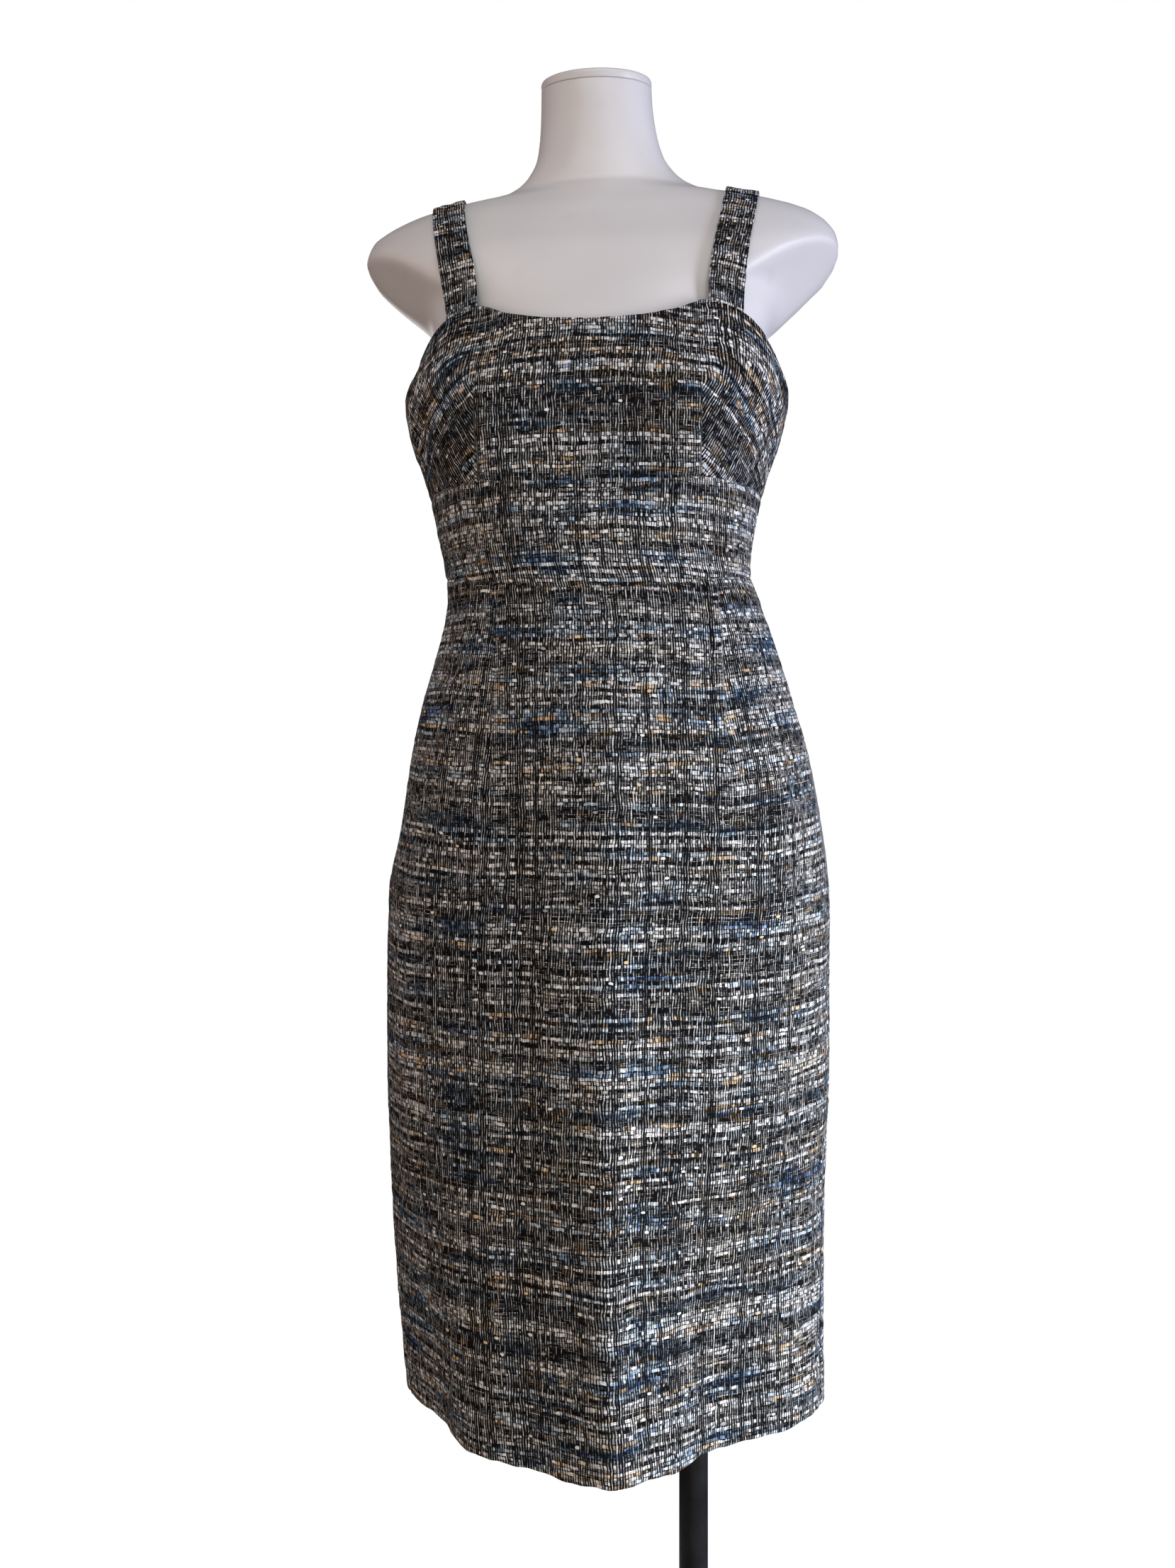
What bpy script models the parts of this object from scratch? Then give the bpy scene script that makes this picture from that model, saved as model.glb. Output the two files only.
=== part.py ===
"""Sheath dress worn by a limbless dress form on a pole and a round base.

Metres, +Z up, floor at Z = 0. The front faces -Y and the wearer's left is +X. The origin is on
the floor under the middle of the body, at the middle of the base's underside.

Every cloth piece is a wall between two skins of one common surface: level sections through the
dress, each given by its width, depths and roundness, with the bust and the folds of the skirt
added to them. Seams are lines on that surface, given by height and by angle round the body.
Angles are in degrees from the centre front, positive towards the wearer's left.
"""

import math
from collections import namedtuple

import bmesh
import bpy
from mathutils import Vector

for old in list(bpy.data.objects):
    bpy.data.objects.remove(old, do_unlink=True)

# ---------------------------------------------------------------- driving dimensions

CLOTH = 0.0020          # thickness of the tweed
SEAM_GAP = 0.0003       # between pieces that are sewn together
HEM_FOLD = 0.036        # height of the turned-up hem, where the cloth lies double
HEM_HEIGHT = 0.467      # hem above the floor at the centre front and back
HEM_SIDE_RISE = 0.006   # and how much higher it hangs at the sides

NECKLINE = 1.346        # centre front of the neckline
BACK_NECKLINE = 1.334   # centre back
STRAP_BASE = 1.366      # where the front straps leave the bodice
BACK_STRAP_BASE = 1.349
UNDERARM = 1.315
UNDERBUST = 1.214       # centre front of the seam under the bust
WAIST = 1.141           # centre front of the waist seam

SIDE_SEAM = 85.0        # angle of the side seams
STRAP_WIDTH = 0.0275
STRAP_INNER = 47.0      # angles that a strap's foot spans on the bodice
STRAP_OUTER = 60.0

POCKET_TOP = 1.046      # mouth of the pockets in the side seams
POCKET_BOTTOM = 0.884
POCKET_GAPE = 3.2       # degrees that the mouth stands open at its widest

FORM_UNDERSIDE = 0.780
NECK_PLATE = 0.007      # thickness of the plate that closes the neck
POLE_X = 0.083          # the pole stands under the wearer's left thigh
POLE_RADIUS = 0.0122
BASE_RADIUS = 0.190
BASE_THICKNESS = 0.008

AROUND_FRONT = 26       # facets round the front panels, half as many on each back panel
AROUND_FORM = 36

# ---------------------------------------------------------------- sections

Section = namedtuple("Section", "height side front back round lean")

# Outside of the dress. Side is half the width, front and back are measured from the body's
# middle plane, round is 2 for an ellipse and less where front and back meet in an edge, and
# lean moves the section towards the wearer's left.
DRESS = [Section(*row) for row in (
    (0.460, 0.1785, 0.126, 0.119, 1.60, 0.0155),
    (0.560, 0.1830, 0.125, 0.121, 1.66, 0.0105),
    (0.660, 0.1857, 0.123, 0.123, 1.76, 0.0082),
    (0.760, 0.1887, 0.121, 0.125, 1.90, 0.0082),
    (0.850, 0.1884, 0.120, 0.127, 2.02, 0.0085),
    (0.900, 0.1862, 0.120, 0.127, 2.08, 0.0105),
    (0.960, 0.1778, 0.118, 0.124, 2.12, 0.0115),
    (1.020, 0.1672, 0.114, 0.117, 2.14, 0.0105),
    (1.060, 0.1563, 0.110, 0.108, 2.16, 0.0092),
    (1.100, 0.1440, 0.105, 0.098, 2.18, 0.0090),
    (1.140, 0.1322, 0.100, 0.088, 2.20, 0.0065),
    (1.165, 0.1288, 0.099, 0.085, 2.20, 0.0018),
    (1.200, 0.1335, 0.103, 0.086, 2.22, 0.0000),
    (1.240, 0.1425, 0.109, 0.090, 2.25, 0.0000),
    (1.280, 0.1560, 0.115, 0.094, 2.28, 0.0000),
    (1.310, 0.1610, 0.114, 0.097, 2.30, 0.0006),
    (1.335, 0.1530, 0.109, 0.099, 2.32, 0.0020),
    (1.360, 0.1470, 0.102, 0.101, 2.40, 0.0020),
    (1.400, 0.1430, 0.091, 0.099, 2.42, 0.0020),
)]

# The dress form: at least the cloth and an even gap smaller than the dress, then the shoulders
# with their arm stumps, and the neck.
FORM = [Section(*row) for row in (
    (FORM_UNDERSIDE, 0.1480, 0.082, 0.092, 2.20, 0.0070),
    (0.786, 0.1610, 0.094, 0.103, 2.20, 0.0080),
    (0.800, 0.1710, 0.103, 0.111, 2.18, 0.0085),
    (0.830, 0.1775, 0.110, 0.117, 2.16, 0.0085),
    (0.870, 0.1805, 0.113, 0.120, 2.15, 0.0092),
    (0.910, 0.1772, 0.113, 0.120, 2.15, 0.0108),
    (0.960, 0.1702, 0.110, 0.116, 2.15, 0.0115),
    (1.020, 0.1597, 0.106, 0.109, 2.16, 0.0105),
    (1.060, 0.1488, 0.102, 0.100, 2.17, 0.0092),
    (1.100, 0.1372, 0.098, 0.091, 2.18, 0.0090),
    (1.140, 0.1258, 0.093, 0.081, 2.20, 0.0065),
    (1.165, 0.1226, 0.092, 0.078, 2.20, 0.0018),
    (1.200, 0.1272, 0.096, 0.079, 2.22, 0.0000),
    (1.240, 0.1362, 0.102, 0.083, 2.25, 0.0000),
    (1.280, 0.1494, 0.108, 0.087, 2.28, 0.0000),
    (1.310, 0.1545, 0.107, 0.090, 2.30, 0.0006),
    (1.335, 0.1467, 0.102, 0.092, 2.35, 0.0020),
    (1.356, 0.1400, 0.096, 0.093, 2.35, 0.0022),
    (1.372, 0.1430, 0.090, 0.092, 2.45, 0.0035),
    (1.388, 0.1575, 0.084, 0.090, 2.55, 0.0050),
    (1.408, 0.1800, 0.077, 0.088, 2.60, 0.0035),
    (1.425, 0.1970, 0.071, 0.085, 2.50, 0.0030),
    (1.440, 0.2030, 0.064, 0.082, 2.35, 0.0028),
    (1.453, 0.2010, 0.058, 0.078, 2.15, 0.0034),
    (1.464, 0.1925, 0.053, 0.074, 1.98, 0.0060),
    (1.473, 0.1800, 0.048, 0.069, 1.82, 0.0085),
    (1.479, 0.1635, 0.045, 0.066, 1.68, 0.0092),
    (1.483, 0.1420, 0.043, 0.063, 1.58, 0.0090),
    (1.487, 0.1180, 0.041, 0.061, 1.58, 0.0080),
    (1.492, 0.0945, 0.040, 0.060, 1.70, 0.0068),
    (1.499, 0.0770, 0.040, 0.059, 1.84, 0.0056),
    (1.508, 0.0655, 0.040, 0.058, 1.95, 0.0046),
    (1.524, 0.0552, 0.041, 0.057, 2.00, 0.0032),
    (1.548, 0.0497, 0.043, 0.053, 2.00, 0.0014),
    (1.570, 0.0476, 0.045, 0.049, 2.00, 0.0004),
    (1.5825, 0.0471, 0.046, 0.047, 2.00, 0.0002),
)]

# The bust stands out of the front on both sides of the middle.
Cup = namedtuple("Cup", "apart height rise across up_down")
BUST = Cup(apart=0.083, height=1.268, rise=0.015, across=0.036, up_down=0.043)

# Soft folds of the skirt, hanging straight down: a rise is a ridge and a fall a trough. Each
# grows from nothing at its top to its full rise at the hem.
Fold = namedtuple("Fold", "angle rise spread top")
FOLDS = [Fold(*row) for row in (
    (3.0, 0.0035, 7.0, 1.060),
    (-47.0, 0.0060, 15.0, 0.800),
    (-71.0, -0.0090, 13.0, 0.700),
    (52.0, -0.0220, 22.0, 0.780),
    (-118.0, -0.0080, 18.0, 0.760),
    (-156.0, 0.0045, 14.0, 0.720),
    (122.0, -0.0110, 20.0, 0.780),
    (160.0, 0.0040, 13.0, 0.700),
)]

# Top edge of the bodice and seams round the body, from the centre front to the side seam and
# from the centre back to the side seam.
Edge = namedtuple("Edge", "angle height")
FRONT_TOP = [Edge(*row) for row in (
    (0.0, NECKLINE), (18.0, NECKLINE + 0.002), (34.0, NECKLINE + 0.009),
    (STRAP_INNER, STRAP_BASE), (STRAP_OUTER, STRAP_BASE - 0.004), (68.0, 1.354),
    (77.0, 1.336), (SIDE_SEAM, UNDERARM), (90.0, UNDERARM - 0.002),
)]
BACK_TOP = [Edge(*row) for row in (
    (0.0, BACK_NECKLINE), (20.0, BACK_NECKLINE + 0.001), (36.0, BACK_NECKLINE + 0.007),
    (STRAP_INNER, BACK_STRAP_BASE), (STRAP_OUTER, BACK_STRAP_BASE - 0.002), (70.0, 1.336),
    (82.0, 1.322), (95.0, UNDERARM), (100.0, UNDERARM - 0.001),
)]
UNDERBUST_SEAM = [Edge(*row) for row in (
    (0.0, UNDERBUST), (20.0, UNDERBUST + 0.003), (42.0, UNDERBUST + 0.011),
    (62.0, UNDERBUST + 0.013), (85.0, UNDERBUST + 0.014), (180.0, UNDERBUST + 0.012),
)]
WAIST_SEAM = [Edge(*row) for row in (
    (0.0, WAIST), (30.0, WAIST + 0.003), (60.0, WAIST + 0.013), (85.0, WAIST + 0.020),
    (120.0, WAIST + 0.019), (180.0, WAIST + 0.014),
)]

# The facing of the right pocket stands out a little at the lower end of its mouth.
Bulge = namedtuple("Bulge", "angle height rise across up_down")
POCKET_BULGE = Bulge(angle=-87.0, height=0.906, rise=0.0030, across=9.0, up_down=0.024)


def smooth(start, end, value):
    """0 before start, 1 after end, and an even curve between them."""
    share = min(1.0, max(0.0, (value - start) / (end - start)))
    return share * share * (3.0 - 2.0 * share)


def read_column(rows, value, read_key, read_value):
    """A smooth curve through one column of a table, read at value."""
    keys = [read_key(row) for row in rows]
    values = [read_value(row) for row in rows]
    last = len(keys) - 1
    index = 0
    while index < last - 1 and value > keys[index + 1]:
        index += 1

    def slope(at):
        if at == 0 or at == last:
            low, high = (0, 1) if at == 0 else (last - 1, last)
            return (values[high] - values[low]) / (keys[high] - keys[low])
        before = (values[at] - values[at - 1]) / (keys[at] - keys[at - 1])
        after = (values[at + 1] - values[at]) / (keys[at + 1] - keys[at])
        if before * after <= 0.0:
            return 0.0
        return 2.0 * before * after / (before + after)

    step = keys[index + 1] - keys[index]
    share = min(1.0, max(0.0, (value - keys[index]) / step))
    gap = 1.0 - share
    return (
        (1.0 + 2.0 * share) * gap * gap * values[index]
        + share * gap * gap * step * slope(index)
        + share * share * (3.0 - 2.0 * share) * values[index + 1]
        - share * share * gap * step * slope(index + 1)
    )


def section_at(rows, height):
    """The section of a body at any height between its rows."""
    columns = [read_column(rows, height, lambda row: row.height, lambda row, c=column: row[c])
               for column in range(1, len(Section._fields))]
    return Section(height, *columns)


def edge_at(rows, angle):
    """The height of a seam or an edge at an angle."""
    return read_column(rows, angle, lambda row: row.angle, lambda row: row.height)


def turn_between(angle, middle):
    """How far an angle lies from another, round the shorter way."""
    return (angle - middle + 180.0) % 360.0 - 180.0


def cup_rise(height, x):
    """How far the bust stands forward at a place on the front."""
    across = (abs(x) - BUST.apart) / BUST.across
    up_down = (height - BUST.height) / BUST.up_down
    return BUST.rise * math.exp(-across * across - up_down * up_down)


def fold_rise(height, angle):
    """How far the folds of the skirt stand out at a place."""
    rise = 0.0
    for fold in FOLDS:
        across = turn_between(angle, fold.angle) / fold.spread
        growth = smooth(fold.top, HEM_HEIGHT, height)
        rise += fold.rise * growth * math.exp(-across * across)
    across = turn_between(angle, POCKET_BULGE.angle) / POCKET_BULGE.across
    up_down = (height - POCKET_BULGE.height) / POCKET_BULGE.up_down
    return rise + POCKET_BULGE.rise * math.exp(-across * across - up_down * up_down)


def skin_point(rows, height, angle, folds):
    """A point on a body's surface."""
    section = section_at(rows, height)
    turn = math.radians(angle)
    depth = (section.front + section.back) / 2.0
    middle = (section.back - section.front) / 2.0
    across = abs(math.sin(turn)) / section.side
    along = abs(math.cos(turn)) / depth
    reach = (across ** section.round + along ** section.round) ** (-1.0 / section.round)
    if folds:
        reach += fold_rise(height, angle)
    x = reach * math.sin(turn)
    y = middle - reach * math.cos(turn)
    facing = smooth(100.0, 60.0, abs(turn_between(angle, 0.0)))
    return Vector((section.lean + x, y - facing * cup_rise(height, x), height))


def skin_normal(rows, height, angle, folds):
    """The outward direction of a body's surface at a point."""
    step = 0.002
    turn = 0.8
    up = skin_point(rows, height + step, angle, folds) - skin_point(rows, height - step, angle, folds)
    round_body = (skin_point(rows, height, angle + turn, folds)
                  - skin_point(rows, height, angle - turn, folds))
    return round_body.cross(up).normalized()


def dress_point(height, angle, inward):
    """A point in the dress's wall, a distance inward of its outside."""
    outward = skin_normal(DRESS, height, angle, True)
    return skin_point(DRESS, height, angle, True) - inward * outward


# ---------------------------------------------------------------- materials and collections

def material(name, colour, roughness, metallic=0.0, coat=0.0, sheen=0.0):
    """A Principled material with plain values."""
    made = bpy.data.materials.new(name)
    made.use_nodes = True
    shader = made.node_tree.nodes["Principled BSDF"]
    shader.inputs["Base Color"].default_value = (*colour, 1.0)
    shader.inputs["Roughness"].default_value = roughness
    shader.inputs["Metallic"].default_value = metallic
    shader.inputs["Coat Weight"].default_value = coat
    shader.inputs["Sheen Weight"].default_value = sheen
    return made


PART = bpy.data.collections.new("sheath_dress_on_form")
bpy.context.scene.collection.children.link(PART)


def add_object(name, mesh, finish):
    """Puts a finished mesh in the part's collection as one piece."""
    piece = bpy.data.objects.new(name, mesh)
    piece.data.materials.append(finish)
    PART.objects.link(piece)
    return piece


# ---------------------------------------------------------------- walls between two skins

def wall_between(outside, inside):
    """A closed wall from two grids of points, rows of equal length, joined round their rims."""
    made = bmesh.new()
    skins = []
    for grid in (outside, inside):
        skins.append([[made.verts.new(point) for point in row] for row in grid])
    outer, inner = skins
    rows = len(outer)
    columns = len(outer[0])
    for row in range(rows - 1):
        for column in range(columns - 1):
            corners = ((row, column), (row, column + 1), (row + 1, column + 1), (row + 1, column))
            made.faces.new([outer[r][c] for r, c in corners])
            made.faces.new([inner[r][c] for r, c in reversed(corners)])
    rim = [(0, column) for column in range(columns)]
    rim += [(row, columns - 1) for row in range(1, rows)]
    rim += [(rows - 1, column) for column in range(columns - 2, -1, -1)]
    rim += [(row, 0) for row in range(rows - 2, 0, -1)]
    for (row, column), (next_row, next_column) in zip(rim, rim[1:] + rim[:1]):
        made.faces.new((
            outer[next_row][next_column], outer[row][column],
            inner[row][column], inner[next_row][next_column],
        ))
    bmesh.ops.recalc_face_normals(made, faces=made.faces)
    return made


def finish_mesh(name, made, sharp_degrees=40.0):
    """A smooth-shaded mesh from a bmesh, with its real corners kept sharp."""
    mesh = bpy.data.meshes.new(name)
    made.to_mesh(mesh)
    made.free()
    mesh.shade_smooth()
    mesh.set_sharp_from_angle(angle=math.radians(sharp_degrees))
    return mesh


Span = namedtuple("Span", "first last facets")


def half_gap(height, angle):
    """Half of a seam's gap as an angle at a place on the dress."""
    middle = skin_point(DRESS, height, 0.0, False)
    away = skin_point(DRESS, height, angle, False) - Vector((middle.x, 0.0, height))
    return math.degrees(SEAM_GAP / 2.0 / away.length)


def mouth_share(height):
    """How far the pocket's mouth is open at a height, from 0 to 1."""
    share = (height - POCKET_BOTTOM) / (POCKET_TOP - POCKET_BOTTOM)
    if share <= 0.0 or share >= 1.0:
        return 0.0
    return math.sin(math.pi * share) ** 0.7


def cloth_panel(name, span, bottom, top, shares, finish, hem=False, pockets=False):
    """One cut piece of the dress, between two seams round the body and two upright ones."""
    outside = []
    inside = []
    for share in shares:
        outer_row = []
        inner_row = []
        for column in range(span.facets + 1):
            across = column / span.facets
            angle = span.first + (span.last - span.first) * across
            low = bottom(angle) + SEAM_GAP / 2.0
            high = top(angle) - SEAM_GAP / 2.0
            height = low + (high - low) * share
            trim = half_gap(height, angle)
            first = span.first + trim
            last = span.last - trim
            if pockets:
                first += POCKET_GAPE * mouth_share(height)
                last -= POCKET_GAPE * mouth_share(height)
            place = first + (last - first) * across
            deep = CLOTH
            if hem:
                deep += CLOTH * 0.8 * smooth(HEM_FOLD + 0.0045, HEM_FOLD + 0.0012, height - low)
            outer_row.append(dress_point(height, place, 0.0))
            inner_row.append(dress_point(height, place, deep))
        outside.append(outer_row)
        inside.append(inner_row)
    made = wall_between(outside, inside)
    return add_object(name, finish_mesh(name, made), finish)


def front_top(angle):
    return edge_at(FRONT_TOP, abs(angle))


def back_top(angle):
    return edge_at(BACK_TOP, abs(turn_between(angle, 180.0)))


def underbust(angle):
    return edge_at(UNDERBUST_SEAM, abs(turn_between(angle, 0.0)))


def waist(angle):
    return edge_at(WAIST_SEAM, abs(turn_between(angle, 0.0)))


def hem_line(angle):
    from_middle = abs(turn_between(angle, 0.0))
    return HEM_HEIGHT + HEM_SIDE_RISE * smooth(25.0, 80.0, min(from_middle, 180.0 - from_middle))


FRONT = Span(-SIDE_SEAM, SIDE_SEAM, AROUND_FRONT)
BACK_LEFT = Span(SIDE_SEAM, 180.0, AROUND_FRONT // 2)
BACK_RIGHT = Span(-180.0, -SIDE_SEAM, AROUND_FRONT // 2)


def level_shares(*stretches):
    """Shares of a panel's height at its levels, from stretches of (end height, steps)."""
    heights = [stretches[0][0]]
    for (low, _), (high, steps) in zip(stretches, stretches[1:]):
        heights += [low + (high - low) * step / steps for step in range(1, steps + 1)]
    whole = heights[-1] - heights[0]
    return [(height - heights[0]) / whole for height in heights]


BODICE_LEVELS = level_shares((UNDERBUST, 0), (NECKLINE, 8))
MIDRIFF_LEVELS = level_shares((WAIST, 0), (UNDERBUST, 3))
SKIRT_LEVELS = level_shares(
    (HEM_HEIGHT, 0), (HEM_HEIGHT + HEM_FOLD, 1), (HEM_HEIGHT + HEM_FOLD + 0.005, 1),
    (0.860, 8), (1.030, 10), (WAIST, 3),
)


def skirt_height(share, angle):
    """The height of one level of the skirt at an angle."""
    low = hem_line(angle) + SEAM_GAP / 2.0
    high = waist(angle) - SEAM_GAP / 2.0
    return low + (high - low) * share


def make_dress_panels(tweed):
    """Bodice, midriff and skirt: one front and two backs each, open down the centre back."""
    cloth_panel("bodice_front", FRONT, underbust, front_top, BODICE_LEVELS, tweed)
    cloth_panel("bodice_back_left", BACK_LEFT, underbust, back_top, BODICE_LEVELS, tweed)
    cloth_panel("bodice_back_right", BACK_RIGHT, underbust, back_top, BODICE_LEVELS, tweed)
    cloth_panel("midriff_front", FRONT, waist, underbust, MIDRIFF_LEVELS, tweed)
    cloth_panel("midriff_back_left", BACK_LEFT, waist, underbust, MIDRIFF_LEVELS, tweed)
    cloth_panel("midriff_back_right", BACK_RIGHT, waist, underbust, MIDRIFF_LEVELS, tweed)
    cloth_panel("skirt_front", FRONT, hem_line, waist, SKIRT_LEVELS, tweed, hem=True, pockets=True)
    cloth_panel("skirt_back_left", BACK_LEFT, hem_line, waist, SKIRT_LEVELS, tweed, hem=True)
    cloth_panel("skirt_back_right", BACK_RIGHT, hem_line, waist, SKIRT_LEVELS, tweed, hem=True)


# ---------------------------------------------------------------- straps

STRAP_STEPS = 28
STRAP_ACROSS = 3
STRAP_REST = 0.0012     # strap's inside above the form at the shoulder
STRAP_SETTLES = 0.22    # share of its length in which a strap comes down onto the shoulder
STRAP_FOOT_X = 0.1050   # middle of a strap at its two feet, and on top of the shoulder
STRAP_TOP_X = 0.1250
PIVOT_Y = 0.0080        # inside the form, under the top of the shoulder
PIVOT_HEIGHT = 1.340


def form_value(x, y, height):
    """Below 1 inside the form, 1 on its surface and above 1 outside."""
    section = section_at(FORM, height)
    depth = (section.front + section.back) / 2.0
    middle = (section.back - section.front) / 2.0
    across = abs(x - section.lean) / section.side
    along = abs(y - middle) / depth
    return across ** section.round + along ** section.round


def form_depth(x, height, facing):
    """The form's y at a width and height, on its front (-1) or its back (1)."""
    section = section_at(FORM, height)
    depth = (section.front + section.back) / 2.0
    middle = (section.back - section.front) / 2.0
    across = (abs(x - section.lean) / section.side) ** section.round
    return middle + facing * depth * (1.0 - across) ** (1.0 / section.round)


def form_outward(x, turn):
    """The form's surface over a strap's pivot, a turn round from its front to its back."""
    low = 0.0
    high = 0.200
    for _ in range(30):
        reach = (low + high) / 2.0
        point = Vector((x, PIVOT_Y - reach * math.cos(turn), PIVOT_HEIGHT + reach * math.sin(turn)))
        if form_value(*point) < 1.0:
            low = reach
        else:
            high = reach
    return point


def strap_line(side):
    """Even steps over one shoulder on the form's surface, from the front foot to the back."""
    fine = 120
    foot_x = side * STRAP_FOOT_X
    front = math.atan2(STRAP_BASE - PIVOT_HEIGHT, PIVOT_Y - form_depth(foot_x, STRAP_BASE, -1.0))
    back = math.pi - math.atan2(BACK_STRAP_BASE - PIVOT_HEIGHT,
                                form_depth(foot_x, BACK_STRAP_BASE, 1.0) - PIVOT_Y)
    points = []
    for step in range(fine + 1):
        share = step / fine
        x = STRAP_FOOT_X + (STRAP_TOP_X - STRAP_FOOT_X) * math.sin(math.pi * share) ** 2
        points.append(form_outward(side * x, front + (back - front) * share))
    lengths = [0.0]
    for before, after in zip(points, points[1:]):
        lengths.append(lengths[-1] + (after - before).length)
    even = []
    index = 0
    for step in range(STRAP_STEPS + 1):
        target = lengths[-1] * step / STRAP_STEPS
        while index < fine - 1 and lengths[index + 1] < target:
            index += 1
        share = (target - lengths[index]) / (lengths[index + 1] - lengths[index])
        even.append(points[index].lerp(points[index + 1], share))
    return even


def form_normal(point):
    """The form's outward direction at a place on its surface."""
    step = 0.001
    x, y, z = point
    return Vector((
        form_value(x + step, y, z) - form_value(x - step, y, z),
        form_value(x, y + step, z) - form_value(x, y - step, z),
        form_value(x, y, z + step) - form_value(x, y, z - step),
    )).normalized()


def foot_point(side, share, back, inward):
    """A point of a strap's sewn end, a seam's gap above the bodice's top edge."""
    angle = STRAP_INNER + (STRAP_OUTER - STRAP_INNER) * share
    edge = BACK_TOP if back else FRONT_TOP
    height = edge_at(edge, angle) + SEAM_GAP / 2.0
    return dress_point(height, side * (180.0 - angle if back else angle), inward)


def band_row(line, side, index, inward):
    """Points across a strap's band, inner edge first, a distance inward of its outside."""
    before = line[max(0, index - 1)]
    after = line[min(STRAP_STEPS, index + 1)]
    along = (after - before).normalized()
    across = along.cross(form_normal(line[index])).normalized()
    up = across.cross(along).normalized()
    middle = line[index] + up * (STRAP_REST + CLOTH - inward)
    shares = [column / STRAP_ACROSS - 0.5 for column in range(STRAP_ACROSS + 1)]
    return [middle + across * side * share * STRAP_WIDTH for share in shares]


def strap_skin(line, side, inward):
    """One skin of a strap: the band on the shoulder, drawn to the bodice at its feet."""
    columns = range(STRAP_ACROSS + 1)
    rows = [band_row(line, side, index, inward) for index in range(STRAP_STEPS + 1)]
    for foot, back in ((0, False), (STRAP_STEPS, True)):
        goal = [foot_point(side, column / STRAP_ACROSS, back, inward) for column in columns]
        pull = [goal[column] - rows[foot][column] for column in columns]
        for index in range(STRAP_STEPS + 1):
            share = 1.0 - smooth(0.0, STRAP_SETTLES, abs(index - foot) / STRAP_STEPS)
            for column in columns:
                rows[index][column] = rows[index][column] + pull[column] * share
    return rows


def make_strap(name, side, tweed):
    """A flat band over one shoulder, from the front of the bodice to its back."""
    line = strap_line(side)
    made = wall_between(strap_skin(line, side, 0.0), strap_skin(line, side, CLOTH))
    return add_object(name, finish_mesh(name, made), tweed)


# ---------------------------------------------------------------- pockets and zip

LINING = 0.0012         # pocket bag and zip tape
UNDER_CLOTH = 0.0009    # between a panel's inside and what is sewn behind it
POCKET_FRONT = 58.0     # angle of the pocket bag's front edge
POCKET_BAG_BOTTOM = 0.780
POCKET_BAG_TOP = 1.068
ZIP_BOTTOM = 0.965
ZIP_HALF_WIDTH = 0.012
ZIP_STEPS = 20
ZIP_UNDER = 0.0014       # the zip's tape lies a little deeper


def pocket_row(height):
    """Angles and depths across a pocket at a height, from its front edge to the back panel."""
    share = mouth_share(height)
    under = CLOTH + UNDER_CLOTH
    mouth = SIDE_SEAM - POCKET_GAPE * share
    back_edge = SIDE_SEAM - 3.0 * half_gap(height, SIDE_SEAM)
    flush = under * (1.0 - smooth(0.35, 0.80, share))
    if share > 0.25:
        hidden = mouth - 0.8
        gape = back_edge - mouth
        facing = [(mouth + gape * 0.32, under), (mouth + gape * 0.66, flush), (back_edge, flush)]
    else:
        hidden = back_edge - 2.4
        facing = [(back_edge - step, under) for step in (1.8, 1.2, 0.6)]
    bag = [(POCKET_FRONT + (hidden - POCKET_FRONT) * step / 4.0, under) for step in range(5)]
    return bag + facing


def make_pocket(name, side, lining):
    """A flat bag behind the skirt's front, whose facing shows in the mouth at the side seam."""
    outside = []
    inside = []
    for share in SKIRT_LEVELS:
        height = skirt_height(share, SIDE_SEAM)
        if not POCKET_BAG_BOTTOM < height < POCKET_BAG_TOP:
            continue
        spots = [(skirt_height(share, angle), side * angle, deep)
                 for angle, deep in pocket_row(height)]
        outside.append([dress_point(*spot) for spot in spots])
        inside.append([dress_point(level, angle, deep + LINING) for level, angle, deep in spots])
    return add_object(name, finish_mesh(name, wall_between(outside, inside)), lining)


def make_back_zip(tape):
    """The tape of a concealed zip behind the centre back seam, closed."""
    outside = []
    inside = []
    top = BACK_NECKLINE - 0.004
    for step in range(ZIP_STEPS + 1):
        height = ZIP_BOTTOM + (top - ZIP_BOTTOM) * step / ZIP_STEPS
        section = section_at(DRESS, height)
        spread = math.degrees(ZIP_HALF_WIDTH / section.back)
        under = CLOTH + ZIP_UNDER
        angles = [180.0 + spread * share for share in (-1.0, 0.0, 1.0)]
        outside.append([dress_point(height, angle, under) for angle in angles])
        inside.append([dress_point(height, angle, under + LINING) for angle in angles])
    name = "back_zip"
    return add_object(name, finish_mesh(name, wall_between(outside, inside)), tape)


# ---------------------------------------------------------------- dress form and stand

NECK_TILT = 0.34        # the neck's plate slopes down towards the front
NECK_TILT_START = 1.530
NECK_TOP = FORM[-1].height
NECK_EDGE = 0.0020      # rounding of the plate's rim
STUMP_FACING = Vector((0.64, -0.384, -0.666))   # the stumps' flat ends look out, down and forward
STUMP_PLACE = -0.8271   # where they lie along that direction
STUMP_EDGE = 0.0016     # rounding between a stump and its end


def cut_stump(point):
    """Lays a point that stands beyond the flat end of its arm stump on that end."""
    facing = Vector((math.copysign(STUMP_FACING.x, point.x), STUMP_FACING.y, STUMP_FACING.z))
    over = facing.dot(point) - STUMP_PLACE
    upper = smooth(1.372, 1.392, point.z) if abs(point.x) > 0.05 else 0.0
    soft = STUMP_EDGE * math.log1p(math.exp(over / STUMP_EDGE))
    return point - facing * soft * upper


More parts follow.
